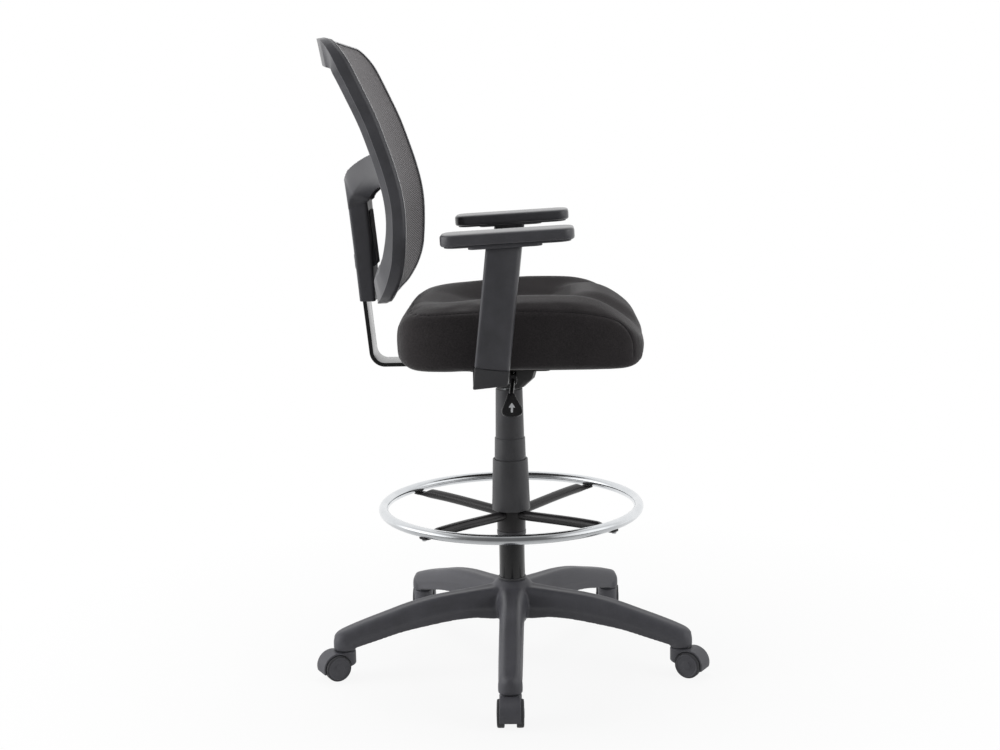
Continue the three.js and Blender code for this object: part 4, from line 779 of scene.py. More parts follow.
def inflate(piece, voxel, cap, pressure=4.0, frames=20):
    """Padded cloth: the form is remeshed and blown up a little, no point moving further than the cap."""
    modify(piece, "REMESH", mode="VOXEL", voxel_size=voxel * MM)
    count = len(piece.data.vertices)
    before, after = np.empty(count * 3), np.empty(count * 3)
    piece.data.vertices.foreach_get("co", before)
    cloth = piece.modifiers.new("Cloth", "CLOTH")
    cloth.settings.use_pressure, cloth.settings.uniform_pressure_force = True, pressure
    cloth.settings.effector_weights.gravity = 0
    cloth.point_cache.frame_end = frames
    for frame_number in range(1, frames + 1):
        bpy.context.scene.frame_set(frame_number)
    apply_modifiers(piece)
    bpy.context.scene.frame_set(1)
    piece.data.vertices.foreach_get("co", after)
    move = (after - before).reshape(-1, 3)
    size = np.linalg.norm(move, axis=1, keepdims=True)
    move *= np.minimum(1, cap * MM / np.maximum(size, 1e-9))
    piece.data.vertices.foreach_set("co", (before + move.ravel()))
    piece.data.update()
    print(piece.name, "swelled by up to", round(float(size.max()) / MM, 1), "mm, capped at", cap)
    modify(piece, "SMOOTH", factor=0.5, iterations=4)
    return modify(piece, "SUBSURF", levels=1, render_levels=1)


cushion = loft("cushion", [cushion_section(f) for f in np.linspace(-207.9, 255.9, 60)])
inflate(cushion, 6.0, SWELL)

# %% [markdown]
# ### Its seams
# A seam joins the top panel to the side band. It runs round the back and along both sides, then
# turns down at the front corners. Points on it are found by casting rays at the swollen surface, and
# the cloth is pulled in along them.

# %% Lines that lie on the cushion
def surface_finder(piece):
    tree = BVHTree.FromObject(piece, bpy.context.evaluated_depsgraph_get())

    def find(origin, direction):
        hit, normal, _, _ = tree.ray_cast(Vector(origin) * MM, Vector(direction))
        return (hit / MM, normal) if hit else (None, None)

    return find


def seam_line(find, drop=0.0, lift=0.0):
    """The seam from one front corner round the back to the other, lowered by a drop along the surface."""
    path = spline([Vector((0, forward, z)) for forward, z in SEAM], 12)
    rays = [(Vector((-700, -p.y + 0.6 * drop * smoothstep(p.y, 150, 215),
                     p.z - drop * (1 - smoothstep(p.y, 170, 216)))), Vector((1, 0, 0))) for p in reversed(path)]
    for k in range(1, 60):
        angle = math.pi * (1 - k / 60)
        away = Vector((math.cos(angle), math.sin(angle), 0))
        rays.append((Vector((away.x * 600, 150 + away.y * 600, SEAM[0][1] - drop)), -away))
    rays += [(Vector((700, o.y, o.z)), Vector((-1, 0, 0))) for o, _ in reversed(rays[:len(path)])]
    line = []
    for origin, direction in rays:
        hit, normal = find(origin, direction)
        while hit is None or (hit - origin).length > 560:  # the ray passed over the edge
            origin.z -= 1
            hit, normal = find(origin, direction)
        line.append(hit + normal * lift)
    return line


def press(piece, line, depth, width):
    """Pulls the surface in along a line."""
    near = KDTree(len(line))
    for i, point in enumerate(line):
        near.insert(point, i)
    near.balance()
    mesh, count = piece.data, len(piece.data.vertices)
    points, normals = np.empty(count * 3), np.empty(count * 3)
    mesh.vertices.foreach_get("co", points)
    mesh.vertices.foreach_get("normal", normals)
    points, normals = points.reshape(-1, 3) / MM, normals.reshape(-1, 3)
    gaps = np.array([near.find(point)[2] for point in points])
    points -= normals * (depth * np.exp(-((gaps / width) ** 2)))[:, None]
    mesh.vertices.foreach_set("co", (points * MM).ravel())
    mesh.update()


press(cushion, seam_line(surface_finder(cushion)), 1.6, 3.6)
cushion.data.shade_smooth()
print("cushion:", len(cushion.data.polygons), "faces")

# %% [markdown]
# ### Its cloth
# The cover is a close, fine polyester, dyed black: two sizes of fibre noise instead of a drawn
# weave, because the threads are finer than half a millimetre, and a soft cloud of wear.

# %% Cloth and thread
def woven(name, dark, light, thread_mm, relief_mm, **shader):
    """Cloth: fibres drawn out a little along the two thread directions, and a cloud of wear."""
    material, tree, principled, place = new_finish(name, **shader)
    fibres = []
    for stretch in ((1.0, 0.3, 1.0), (0.4, 1.0, 0.35)):
        along = add(tree, "ShaderNodeVectorMath", {0: place, 1: stretch}, operation="MULTIPLY")
        noise = add(tree, "ShaderNodeTexNoise", {"Vector": along.outputs[0], "Scale": 1 / thread_mm, "Detail": 2.0})
        fibres.append(noise.outputs[0])
    cloud = add(tree, "ShaderNodeTexNoise", {"Vector": place, "Scale": 1 / 55, "Detail": 3.0})
    threads = add(tree, "ShaderNodeMath", {0: fibres[0], 1: fibres[1]}, operation="ADD")
    height = ranged(tree, threads.outputs[0], 0.75, 1.25, 0.0, 1.0)
    worn = add(tree, "ShaderNodeMath", {0: cloud.outputs[0], 1: 0.8, 2: height}, operation="MULTIPLY_ADD")
    tree.links.new(mixed(tree, ranged(tree, worn.outputs[0], 0.2, 1.6, 0.0, 1.0), dark, light),
                   principled.inputs["Base Color"])
    relief = add(tree, "ShaderNodeBump", {"Height": height, "Distance": relief_mm * MM, "Strength": 1.0})
    tree.links.new(relief.outputs[0], principled.inputs["Normal"])
    return material


CLOTH = woven("black polyester cloth", "#201e1f", "#312e2f", 1.1, 0.12, Roughness=0.9, Specular_IOR_Level=0.3,
              Sheen_Weight=0.2, Sheen_Roughness=0.35)
THREAD = moulded("black sewing thread", "#19181a", "#232224", 0.6, 0.5, 0.05, Specular_IOR_Level=0.3)
finish_piece(cushion, CLOTH, "seat", "upholstery", "seat_cushion")

# %% Seam line and stitches
find_on_cushion = surface_finder(cushion)
joint = tube("cushion_seam", seam_line(find_on_cushion, 0.0, 0.1), 0.55, 8)
finish_piece(smooth(joint, 60), THREAD, "seat", "upholstery")
seam = stitched("cushion_stitches", seam_line(find_on_cushion, 3.2, 0.05), 4.2, 0.7, THREAD, 0.5)
finish_piece(seam, THREAD, "seat", "upholstery")
print("stitches:", len(seam.data.polygons) // 48)

# %% [markdown]
# ## Under the seat
# The tilt housing is pressed steel, the board is plywood, and the back hangs on one bent flat bar.
# The CAD shapes are right, so copies of them get what pressing and bending leave: rounded edges.

# %% Housing, board, bar and lever
finish_piece(from_frame("tilt_housing", "seat_plate", 1.4), BLACK_STEEL, "seat", "black_steel", "seat_plate")
BAR_W, BAR_T, BAR_LOW, BAR_CORNER, BAR_BEND, BAR_TOP, LEAN = 76.0, 7.5, 590.0, 257.0, 26.0, 873.0, 5.5


def bar_line():
    """The bar's middle line in (y, z): the flat run, the bend and the leaning upright."""
    lean, middle = math.radians(LEAN), BAR_LOW + BAR_T / 2
    tangent = BAR_BEND * math.tan((math.pi / 2 - lean) / 2)
    points = [Vector((-40, middle)), Vector((-38, middle))]
    for k in range(25):
        angle = -math.pi / 2 + (math.pi / 2 - lean) * k / 24
        points.append(Vector((BAR_CORNER - tangent + BAR_BEND * math.cos(angle),
                              middle + BAR_BEND * (1 + math.sin(angle)))))
    rise = BAR_TOP - middle
    points.append(Vector((BAR_CORNER + rise * math.tan(lean), BAR_TOP)))
    return points


def make_bar():
    line = bar_line()
    w, t = BAR_W / 2, BAR_T / 2
    section = fillet([(-w, -t), (w, -t), (w, t), (-w, t)], 1.6, 4)
    rings = []
    for i, point in enumerate(line):
        along = (line[min(i + 1, len(line) - 1)] - line[max(i - 1, 0)]).normalized()
        across = Vector((0, -along.y, along.x))
        rings.append([Vector((x, point.x, point.y)) + across * t for x, t in section])
    bar = smooth(loft("back_bar_bent", rings), 50)
    bolts = [drill(x, y, BAR_LOW - 4, BAR_LOW + 12) for x in (-24, 24) for y in (-24, 40)]
    return smooth(carve(bar, *bolts), 40)


finish_piece(make_bar(), BLACK_STEEL, "seat", "black_steel", "back_bar")

# The lever: a steel rod with a moulded boss, turned down into a paddle with a plain arrow for "up".
LEVER_Y, LEVER_Z, PADDLE = -10.0, 576.0, (-152.0, -7.0, 551.0)
PADDLE_FACE = 8.05  # the arrow lies just off the paddle's outer face


def make_lever_rod():
    path = spline([*((x, LEVER_Y, LEVER_Z) for x in (-19.6, -70, -118)), (-144, -8, LEVER_Z - 14), (-152, -7, 549),
                   (-155, -7, 539)], 8)
    rod = tube("lever_rod_bent", path, 4.0, 20, up=Vector((0, 1, 0)))
    boss = raised("boss", round_rect(21, 15, 7, 6), 9, at(-114, LEVER_Y, LEVER_Z) @ turn("Y", -90), 1.6)
    return smooth(join("lever_rod_bent", [rod, boss]), 45)


def paddle_place():
    tilt = math.radians(14)
    return frame_at((PADDLE[0] + 4, PADDLE[1], PADDLE[2]), (0, -1, 0), (math.sin(tilt), 0, math.cos(tilt)))


def make_paddle():
    outline = [(-6, 4), (6, 4), (9, -4), (20, -24), (21, -31), (16, -37), (2, -40), (-12, -38), (-18, -33), (-18, -26),
               (-9, -4)]
    rounded = fillet(outline, [2, 2, 3, 6, 5, 6, 10, 6, 5, 6, 5], 6)
    return smooth(raised("lever_paddle_moulded", rounded, 8.0, paddle_place(), 2.2, 5), 40)


def make_arrow():
    """The printed arrow: twice the usual thickness of ink, so that it stays a solid of its own."""
    arrow = [(1, -13), (7, -22), (3, -22), (3, -31), (-1, -31), (-1, -22), (-5, -22)]
    return smooth(raised("paddle_arrow", fillet(arrow, 0.4, 2), 0.3, paddle_place() @ at(0, 0, PADDLE_FACE)), 40)


finish_piece(make_lever_rod(), BLACK_STEEL, "lever", "black_steel", "lever_rod")
finish_piece(make_paddle(), BLACK_STEEL, "lever", "frame_plastic", "lever_paddle")
ARROW_PRINT = moulded("pale grey printing ink", "#a9abad", "#bcbec0", 0.5, 1.0, 0.02)
finish_piece(make_arrow(), ARROW_PRINT, "lever", "frame_plastic")
print("under the seat: housing, bar and lever")

# %% [markdown]
# ## The arms
# Each arm is a steel bracket under the seat, a moulded sleeve that slides on its blade, a button
# that frees the catch, and a pad on a tray. Everything is built in the left arm's own leaning frame
# and mirrored for the right; a mirror turns a shape inside out, so the copies' faces are flipped
# back.

# %% Sleeve and bracket
ARM_X, SLEEVE_T, SLEEVE_W, SLEEVE_LOW = 275.0, 28.0, 62.0, 30.5
ARM = at(ARM_X, 26.3, 593) @ turn("X", 6.5)
PAD = at(254, -7, 852) @ turn("X", -2.7)
PAD_T = 21.0
PLATE_LOW = -PAD_T / 2 - 0.3 - 3 - 4  # underside of the plate below the pad's tray
MIRROR = Matrix.Scale(-1, 4, (1, 0, 0))
BUTTON_Z, BUTTON_W, BUTTON_H = 196.0, 14.0, 22.0


def make_sleeve():
    half_t, half_w = SLEEVE_T / 2, SLEEVE_W / 2
    faces = [(half_t - 2.6, half_w), (half_t, 6), (half_t, -6), (half_t - 2.6, -half_w)]
    bulged = fillet([*faces, *[(-x, -y) for x, y in faces]], [8.5, 14, 14, 8.5] * 2, 6)
    shell = raised("arm_sleeve", bulged, 220, ARM @ at(0, 0, SLEEVE_LOW), 0.9)
    hollow = raised("hollow", round_rect(SLEEVE_T - 6, SLEEVE_W - 6, 4, 5), 197, ARM @ at(0, 0, SLEEVE_LOW - 5))
    window = raised("window", round_rect(BUTTON_H + 0.8, BUTTON_W + 0.8, 2.5, 4), 12,
                    ARM @ at(-SLEEVE_T / 2 - 6, 0, BUTTON_Z) @ turn("Y", 90))
    above = raised("above", [(-200, -200), (200, -200), (200, 200), (-200, 200)], 100, PAD @ at(0, 0, PLATE_LOW - 0.3))
    return softened(carve(shell, hollow, window, above), 0.5, 2, 55)


def make_bracket():
    """The foot block, the notched blade, and the plate and gusset that reach under the seat."""
    half_t, half_w = SLEEVE_T / 2 - 1, SLEEVE_W / 2 - 1
    foot = raised("foot", fillet([(-half_w, 4), (half_w, -9), (half_w, SLEEVE_LOW - 0.4), (-half_w, SLEEVE_LOW - 0.4)],
                                 [4, 4, 1, 1], 4), 2 * half_t,
                  ARM @ at(-half_t, 0, 0) @ turn("Z", 90) @ turn("X", 90), 1.6)
    blade = raised("blade", round_rect(12, 48, 1.5, 3), 188 - SLEEVE_LOW + 8, ARM @ at(0, 0, SLEEVE_LOW - 8), 1.0)
    notches = [raised("notch", [(-8, -4), (8, -4), (8, 4), (-8, 4)], 4, ARM @ at(0, -24, 178 - 12 * i))
               for i in range(6)]
    blade = carve(blade, *notches)
    top = 597.5
    length = ARM_X - 101 - half_t + 2
    plate = raised("plate", round_rect(length, 62, 8, 5), 6, at(101 + length / 2, 26.3, top - 6), 0.9)
    plate = carve(plate, *(drill(115, 26.3 + y, top - 20, top + 5) for y in (-18, 18)))
    inner = ARM_X - half_t
    gusset = [(inner + 3, top - 6), (inner - 62, top - 6), (inner - 62, top), (245, top), (249, top + 20),
              (inner + 3, top + 20)]
    rib = raised("rib", fillet(gusset, [0, 2, 0, 2, 2, 0], 3), 4, at(0, 57.3, 0) @ turn("X", 90), 0.6)
    return smooth(join("arm_bracket", [foot, blade, plate, rib]), 38)


def make_button():
    face = -SLEEVE_T / 2 - 2.6
    button = raised("arm_button", round_rect(BUTTON_H, BUTTON_W, 2.2, 5), 7.2,
                    ARM @ at(face, 0, BUTTON_Z) @ turn("Y", 90), 1.0)
    grooves = [raised("groove", [(-0.6, -4.5), (0.6, -4.5), (0.6, 4.5), (-0.6, 4.5)], 1.2,
                      ARM @ at(face - 0.6, 0, BUTTON_Z + z) @ turn("Y", 90)) for z in (-5, 0, 5)]
    return smooth(carve(button, *grooves), 40)

# %% Pad and tray
def make_pad():
    """Layers of the pad's outline: an undercut, a swelling side and a soft crown, sagging slightly in the middle."""
    half = PAD_T / 2
    levels = [(-half, 3.2, 20), (-half + 1.2, 1.4, 22), (-half + 3, 0.4, 23.5), (-half + 6, 0, 24), (0, 0, 24),
              (half - 5.5, 0.1, 24), (half - 3.4, 0.6, 23.6), (half - 2.2, 1.5, 23), (half - 1.2, 3.2, 21.5),
              (half - 0.5, 6.5, 18), (half, 13, 12)]
    inset_at = through([(z, i) for z, i, _ in levels])
    corner_at = through([(z, c) for z, _, c in levels])
    heights = [*np.linspace(-half, -half + 3, 5), *np.linspace(-half + 4.5, half - 5, 5),
               *np.linspace(half - 4.4, half, 9)]
    pad = loft("arm_pad", [placed(round_rect(90 - 2 * inset_at(z), 232 - 2 * inset_at(z), corner_at(z), 14), PAD, z)
                           for z in heights])
    with edited(pad.data) as edit:
        for cap in [f for f in edit.faces if len(f.verts) > 20]:
            bmesh.ops.poke(edit, faces=[cap])
    return smooth(pad, 55)


def make_tray():
    low = PLATE_LOW + 4
    tray = raised("tray", round_rect(80, 220, 26, 10), 3.0, PAD @ at(0, 0, low), 0.8)
    plate = raised("plate", round_rect(52, 128, 14, 8), 4.6, PAD @ at(ARM_X - 254 - 6, 4, PLATE_LOW), 1.0)
    return smooth(join("arm_tray", [tray, plate]), 40)

# %% Both arms
arm_parts = [
    (make_sleeve(), FRAME_PLASTIC, "arm_{}", "frame_plastic", "arm_sleeve_{}"),
    (make_bracket(), BRACKET_COAT, "seat", "black_steel", "arm_bracket_{}"),
    (make_button(), FRAME_PLASTIC, "button_{}", "frame_plastic", "arm_button_{}"),
    (make_pad(), SKIN_FOAM, "arm_{}", "arm_pad", "arm_pad_{}"),
    (make_tray(), FRAME_PLASTIC, "arm_{}", "frame_plastic", "arm_pad_base_{}"),
]
for shape, material, body, slot, node in arm_parts:
    name = shape.name
    for side in ("left", "right"):
        piece = copy_at(f"{name}_moulded_{side}", shape, Matrix.Identity(4) if side == "left" else MIRROR)
        finish_piece(piece, material, body.format(side), slot, node.format(side))
    bpy.data.objects.remove(shape)
print("arms: sleeve", SLEEVE_T, "x", SLEEVE_W, "mm")

# %% [markdown]
# ## The back
# The back is a rim round a tight woven sheet. The rim's section runs round a bent, dished
# outline, deeper at the sides than across the top, and the same surface carries the sheet, so both
# come from one function for a point of the back.

# %% The back's surface
HALF_W, BACK_TOP, BACK_LOW, CORNER_TOP, CORNER_LOW = 231.5, 1204.0, 715.0, 48.0, 75.0
side_edge = through([(693, 214), (715, 207), (741, 193), (762, 184), (796, 176), (829, 172.5), (876, 171), (919, 174.5),
                     (965, 185), (1012, 200), (1054, 215), (1103, 237), (1158, 264), (1197, 287), (1240, 312)])
dish = through([(715, 14), (793, 26), (893, 32), (1204, 30)])


def back_point(x, flat_z):
    across = (x / HALF_W) ** 2
    high = min(max((flat_z - BACK_LOW) / (BACK_TOP - BACK_LOW), 0), 1)
    z = flat_z + 24 * across * (1 - high) ** 2 - 12 * across * high**2
    return Vector((x, side_edge(z) + dish(z) * (1 - across), z))


def back_facing(z):
    return Vector((0, -1, (side_edge(z + 4) - side_edge(z - 4)) / 8)).normalized()


def rim_path():
    """The rim's outer edge as (x, z, outward x, outward z), from the top middle round."""
    path = []

    def arc(cx, cz, r, start, steps):
        for i in range(steps + 1):
            a = math.radians(start - i * 90 / steps)
            path.append((cx + r * math.cos(a), cz + r * math.sin(a), math.cos(a), math.sin(a)))

    def line(x0, z0, x1, z1, ox, oz, steps):
        path.extend((lerp(x0, x1, i / steps), lerp(z0, z1, i / steps), ox, oz) for i in range(1, steps))

    w, top, low, rt, rb = HALF_W, BACK_TOP, BACK_LOW, CORNER_TOP, CORNER_LOW
    arc(w - rt, top - rt, rt, 90, 16)
    line(w, top - rt, w, low + rb, 1, 0, 40)
    arc(w - rb, low + rb, rb, 0, 18)
    line(w - rb, low, rb - w, low, 0, -1, 34)
    arc(rb - w, low + rb, rb, -90, 18)
    line(-w, low + rb, -w, top - rt, -1, 0, 40)
    arc(rt - w, top - rt, rt, 180, 16)
    line(rt - w, top, w - rt, top, 0, 1, 40)
    return path

# %% The rim
LIP, REBATE, DEPTH = 7.0, 7.0, 35.0


def rim_section(width, depth, strip, reach, shallow):
    """The rim cut across: o runs inwards from its outer edge, n back from its front.

    A chamfer leads from the lip to the outer strip; behind the strip a bevel runs in to the full
    depth at the reach, which is short at the sides and as wide as the rail at the top and bottom."""
    slope = (depth - strip) / reach
    corners = [((0, 5.2), 1.4), ((0, strip), 1.4), ((2.2, strip + 0.5 * slope), 0.5), ((reach, depth), 2.2),
               ((width - 3, depth + 0.2), 2.4), ((width, depth - 4), 2), ((width, lerp(REBATE, depth, 0.4)), 1.5),
               ((LIP, REBATE), 0.4), ((LIP - 0.2, 0.9), 0.4), ((LIP - 1.4, 0), 0.6), ((3.8, 0), 0.8)]
    return fillet([(o, n * shallow if n > REBATE else n) for (o, n), _ in corners], [r for _, r in corners], 3)


def rim_stations():
    """Along the rim: its x, z and outward z, and there the surface's point, its outward and its front direction."""
    path = rim_path()
    middles = [back_point(x, z) for x, z, _, _ in path]
    for i, (x, z, ox, oz) in enumerate(path):
        along = (middles[(i + 1) % len(path)] - middles[i - 1]).normalized()
        facing = back_facing(middles[i].z)
        outward = along.cross(facing).normalized()
        if outward.x * ox + outward.z * oz < 0:
            outward.negate()
        front = outward.cross(along)
        if front.dot(facing) < 0:
            front.negate()
        yield x, z, oz, middles[i], outward, front


def rim_rings():
    rings = []
    for x, z, oz, middle, outward, front in rim_stations():
        rail = smoothstep(abs(oz), 0.05, 0.95)
        width = lerp(26, 43 if oz > 0 else 50, rail)
        strip = lerp(22.6, 21.5 if oz > 0 else 26, rail)
        # The bevel already widens along the sides, well above the bottom corners.
        swell = max(rail, 0.6 * smoothstep(865 - z, 0, 120)) if oz <= 0 else rail
        depth = lerp(DEPTH, 34 if oz > 0 else 50, swell)
        reach = min(lerp(11, width - 4 if oz > 0 else 30, swell), width - 5)
        # Behind the bottom rail stands the spine, so the rail gets shallow in the middle.
        shallow = lerp(1, 0.54, smoothstep(1 - abs(x) / 190, 0.1, 0.75)) if oz < -0.5 else 1
        # The back leans, but the rails' outer faces are nearly level: their rear edges are lifted or dropped.
        lift = math.copysign(rail, oz) * (0.38 if oz > 0 else 0.5)
        ring = []
        for o, n in rim_section(width, depth, strip, reach, shallow):
            point = middle - outward * o - front * n
            point.z += lift * n * (1 - max(o, 0) / width)
            ring.append(point)
        rings.append(ring)
    return rings


rim = smooth(loft("back_rim", rim_rings(), closed=True), 30)
finish_piece(rim, FRAME_PLASTIC, "back", "frame_plastic", "back_frame")


def lip_highlight_strip(half_w=1.5, half_t=0.7):
    """A thin light grey strip all round the front of the lip, where the sheet is tucked in: a painted highlight for the
    light its rounded front edge catches.
    """
    rings = []
    for _, _, _, middle, outward, front in rim_stations():
        centre = middle - outward * 5.2 + front * (half_t + 0.1)
        rings.append([centre + outward * math.cos(a) * half_w + front * math.sin(a) * half_t
                      for a in np.linspace(0, 2 * math.pi, 9)[:-1]])
    return smooth(loft("back_lip_painted_highlight", rings, closed=True), 60)


# The light grey strip is a painted highlight along the lip's front edge.
finish_piece(lip_highlight_strip(), LIP_HIGHLIGHT_GREY, "back", "frame_plastic")

# %% [markdown]
# ### The woven sheet
# The sheet is stretched into a groove behind the rim's lip. It is one thin curved surface with a
# twill: fine diagonal ribs, which is what the eye picks out of such a weave from a step away. Its
# flat size is estimated from the opening, and the area beside it is measured on the finished sheet,
# so comparing the two says nothing about how far it stretches.

# %% Sheet and finish
SHEET_T = 1.2


def outline_half(z, inset):
    """Half the width of the opening inside the rim at a flat height."""
    w, top, low = HALF_W - inset, BACK_TOP - inset, BACK_LOW + inset
    rt, rb = CORNER_TOP - inset, CORNER_LOW - inset
    if z > top - rt:
        return w - rt + math.sqrt(max(rt**2 - (z - top + rt) ** 2, 0))
    if z < low + rb:
        return w - rb + math.sqrt(max(rb**2 - (low + rb - z) ** 2, 0))
    return w


def make_sheet():
    inset, columns = LIP + 0.2, 72
    top, low = BACK_TOP - inset, BACK_LOW + inset
    ease = [0.5 - 0.5 * math.cos(math.pi * k / 96) for k in range(97)]
    rows = [lerp(low, top, t) for t in ease]
    rings = []
    for flat_z in rows:
        half = outline_half(flat_z, inset)
        xs = [lerp(-half, half, k / columns) for k in range(columns + 1)]
        front, rear = [], []
        for x in xs:
            point = back_point(x, flat_z)
            facing = back_facing(point.z)
            front.append(point - facing * 0.4)
            rear.append(point - facing * (0.4 + SHEET_T))
        rings.append([*front, *reversed(rear)])
    return smooth(loft("back_sheet", rings), 60)


def sheet_area(piece):
    """One side's area of the finished sheet, in square metres: a measure of this mesh, not of the flat cut."""
    return sum(face.area for face in piece.data.polygons) / 2


def twill():
    """A knitted twill: diagonal ribs 4.6 mm apart that fall towards the sides, broken up by finer threads.

    Real ribs are closer; at their own size they wouldn't show."""
    material, tree, principled, place = new_finish("knitted polyester twill", Roughness=0.6, Sheen_Weight=0.15,
                                                   Sheen_Roughness=0.4)
    wander = add(tree, "ShaderNodeTexNoise", {"Vector": place, "Scale": 1 / 30, "Detail": 3.0})
    parts = add(tree, "ShaderNodeSeparateXYZ", {0: place})
    sides = add(tree, "ShaderNodeMath", {0: parts.outputs["X"]}, operation="ABSOLUTE")
    waves = []
    for across, up, pitch in ((0.32, 1.0, 4.6), (-1.0, 0.5, 3.1)):
        wide = add(tree, "ShaderNodeMath", {0: sides.outputs[0], 1: across * 2 * math.pi / pitch}, operation="MULTIPLY")
        slope = add(tree, "ShaderNodeMath", {0: parts.outputs["Z"], 1: up * 2 * math.pi / pitch, 2: wide.outputs[0]},
                    operation="MULTIPLY_ADD")
        bent = add(tree, "ShaderNodeMath", {0: wander.outputs[0], 1: 4.0, 2: slope.outputs[0]},
                   operation="MULTIPLY_ADD")
        waves.append(add(tree, "ShaderNodeMath", {0: bent.outputs[0]}, operation="SINE").outputs[0])
    cloth = add(tree, "ShaderNodeMath", {0: waves[1], 1: 0.15, 2: waves[0]}, operation="MULTIPLY_ADD")
    height = ranged(tree, cloth.outputs[0], -1.0, 1.0, 0.0, 1.0)
    knots = add(tree, "ShaderNodeTexNoise", {"Vector": place, "Scale": 1 / 2.2, "Detail": 2.0})
    tone = add(tree, "ShaderNodeMath", {0: knots.outputs[0], 1: 0.25, 2: height}, operation="MULTIPLY_ADD")
    tree.links.new(mixed(tree, ranged(tree, tone.outputs[0], 0.2, 1.1, 0.0, 1.0), "#1d1b1d", "#605c5e"),
                   principled.inputs["Base Color"])
    relief = add(tree, "ShaderNodeBump", {"Height": tone.outputs[0], "Distance": 0.5 * MM, "Strength": 1.0})
    tree.links.new(relief.outputs[0], principled.inputs["Normal"])
    return material


sheet = make_sheet()
TWILL = twill()
finish_piece(sheet, TWILL, "back", "mesh", "back_mesh")
area = sheet_area(sheet)

# %% [markdown]
# ### The spine and its yoke
# Behind the sheet stands a hollow spine that slides on the bar. At its top it spreads into two arms
# that sweep out and forward to the rim. An arm is deep where it leaves the spine and thin where it
# meets the rim, so it is lofted through sections of four corners each, and the arms and the spine
# are melted into one moulding.

# %% Spine, yoke, sleeve
SPINE_HALF = 46.0
# height, then y of the spine's front and of its rear
SPINE_LEVELS = [(716, 247.9, 277.3), (763, 249.5, 281.2), (831, 251.5, 287.2), (905, 257.3, 294.2)]
# x, then (y, z) of an arm's outer face at the top and low edge, and of its inner face at the low and top edge
ARMS = [(0, 300, 946, 293.8, 886, 256, 902, 284, 946), (40, 299.4, 946.5, 293, 888, 256, 903, 284, 947),
        (47, 298.8, 948, 292, 894, 252, 905, 283, 948), (53, 297.6, 950.5, 287.2, 910, 250, 910, 281, 950),
        (65, 295.5, 953.5, 280.5, 921, 246, 915, 277, 953), (90, 288.5, 963, 267, 936, 238, 922, 266, 961),
        (125, 273, 975, 252, 951, 226, 929, 250, 971), (165, 251.5, 987, 234, 963, 212, 934, 228, 982),
        (205, 230, 996.5, 216, 972, 199, 938, 208, 991)]


def make_yoke():
    def box(name, pull, levels):
        rings = []
        for z, front, rear in levels:
            outline = round_rect(2 * (SPINE_HALF - pull), rear - front - 2 * pull, max(5 - pull, 1), 5)
            rings.append([Vector((x, y + (front + rear) / 2, z)) for x, y in outline])
        return loft(name, rings)

    spine = box("back_spine", 0, SPINE_LEVELS)
    inside = [(z + dz, front, rear) for (z, front, rear), dz in zip(SPINE_LEVELS, (-6, 0, 0, -14))]
    carve(spine, box("hollow", 4, inside))
    lean = math.degrees(math.atan2(6.0, 68.0))
    tab = raised("tab", round_rect(40, 30, 4, 5), 5, at(0, 282.4, 790) @ turn("X", -90 - lean), 1.0)
    tracks = [through([(row[0], row[k]) for row in ARMS]) for k in range(1, 9)]
    rings = []
    for x in np.linspace(-205, 205, 165):
        corners = [Vector((x, tracks[k](abs(x)), tracks[k + 1](abs(x)))) for k in (0, 2, 4, 6)]
        flat = [(c.y, c.z) for c in corners]
        rings.append([Vector((x, y, z)) for y, z in fillet(flat, [2.5, 1.2, 2, 4], 4)])
    return fused("back_spine", [spine, tab, loft("arms", rings)], 1.6, 1)


spine = make_yoke()
finish_piece(spine, FRAME_PLASTIC, "back", "frame_plastic", "back_yoke")
finish_piece(from_frame("spine_slider", "spine_sleeve", 1.0), ACETAL, "back", "frame_plastic", "spine_sleeve")
print("back: rim", len(rim.data.polygons), "faces, spine", len(spine.data.polygons), "faces")

# %% [markdown]
# ## Parts that stay as they came
# Axles, stems, bushes and the board under the cushion already have the right shape, because they
# are plain turned or sawn parts that sit inside others. They only get a real finish.

# %% Finishes for the CAD parts that still show
def plywood():
    """Birch ply stained black, as under most office seats: long soft grain still shows along the board."""
    material, tree, principled, place = new_finish("black-stained birch plywood", Roughness=0.6)
    parts = add(tree, "ShaderNodeVectorMath", {0: place, 1: (0.012, 0.09, 0.5)}, operation="MULTIPLY")
    grain = add(tree, "ShaderNodeTexNoise", {"Vector": parts.outputs[0], "Scale": 1.0, "Detail": 6.0,
                                             "Distortion": 1.5})
    tree.links.new(mixed(tree, ranged(tree, grain.outputs[0], 0.3, 0.7, 0, 1), "#1d1814", "#2b241e"),
                   principled.inputs["Base Color"])
    relief = add(tree, "ShaderNodeBump", {"Height": grain.outputs[0], "Distance": 0.1 * MM, "Strength": 1.0})
    tree.links.new(relief.outputs[0], principled.inputs["Normal"])
    return material


PLYWOOD = plywood()
kept = {"seat_pan": PLYWOOD, "column_bush": POLYPROPYLENE}
for node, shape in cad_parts.items():
    if node.endswith(("_stem", "_axle")):
        kept[node] = ZINC
for node, material in kept.items():
    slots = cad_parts[node].data.materials
    slots.clear()
    slots.append(material)
print("kept CAD parts:", len(kept))

# %% [markdown]
# ## Floor, light and camera
# A large pale floor catches the shadow, and the world and the floor show white to the camera and to
# shiny parts, but the room behind the camera is dim, so dark plastic keeps dark faces and bright
# edges. Five soft lamps shape the chair: one above, a strong one behind its back, one in front of it,
# a weaker one across from the camera and a weak one beside the camera.

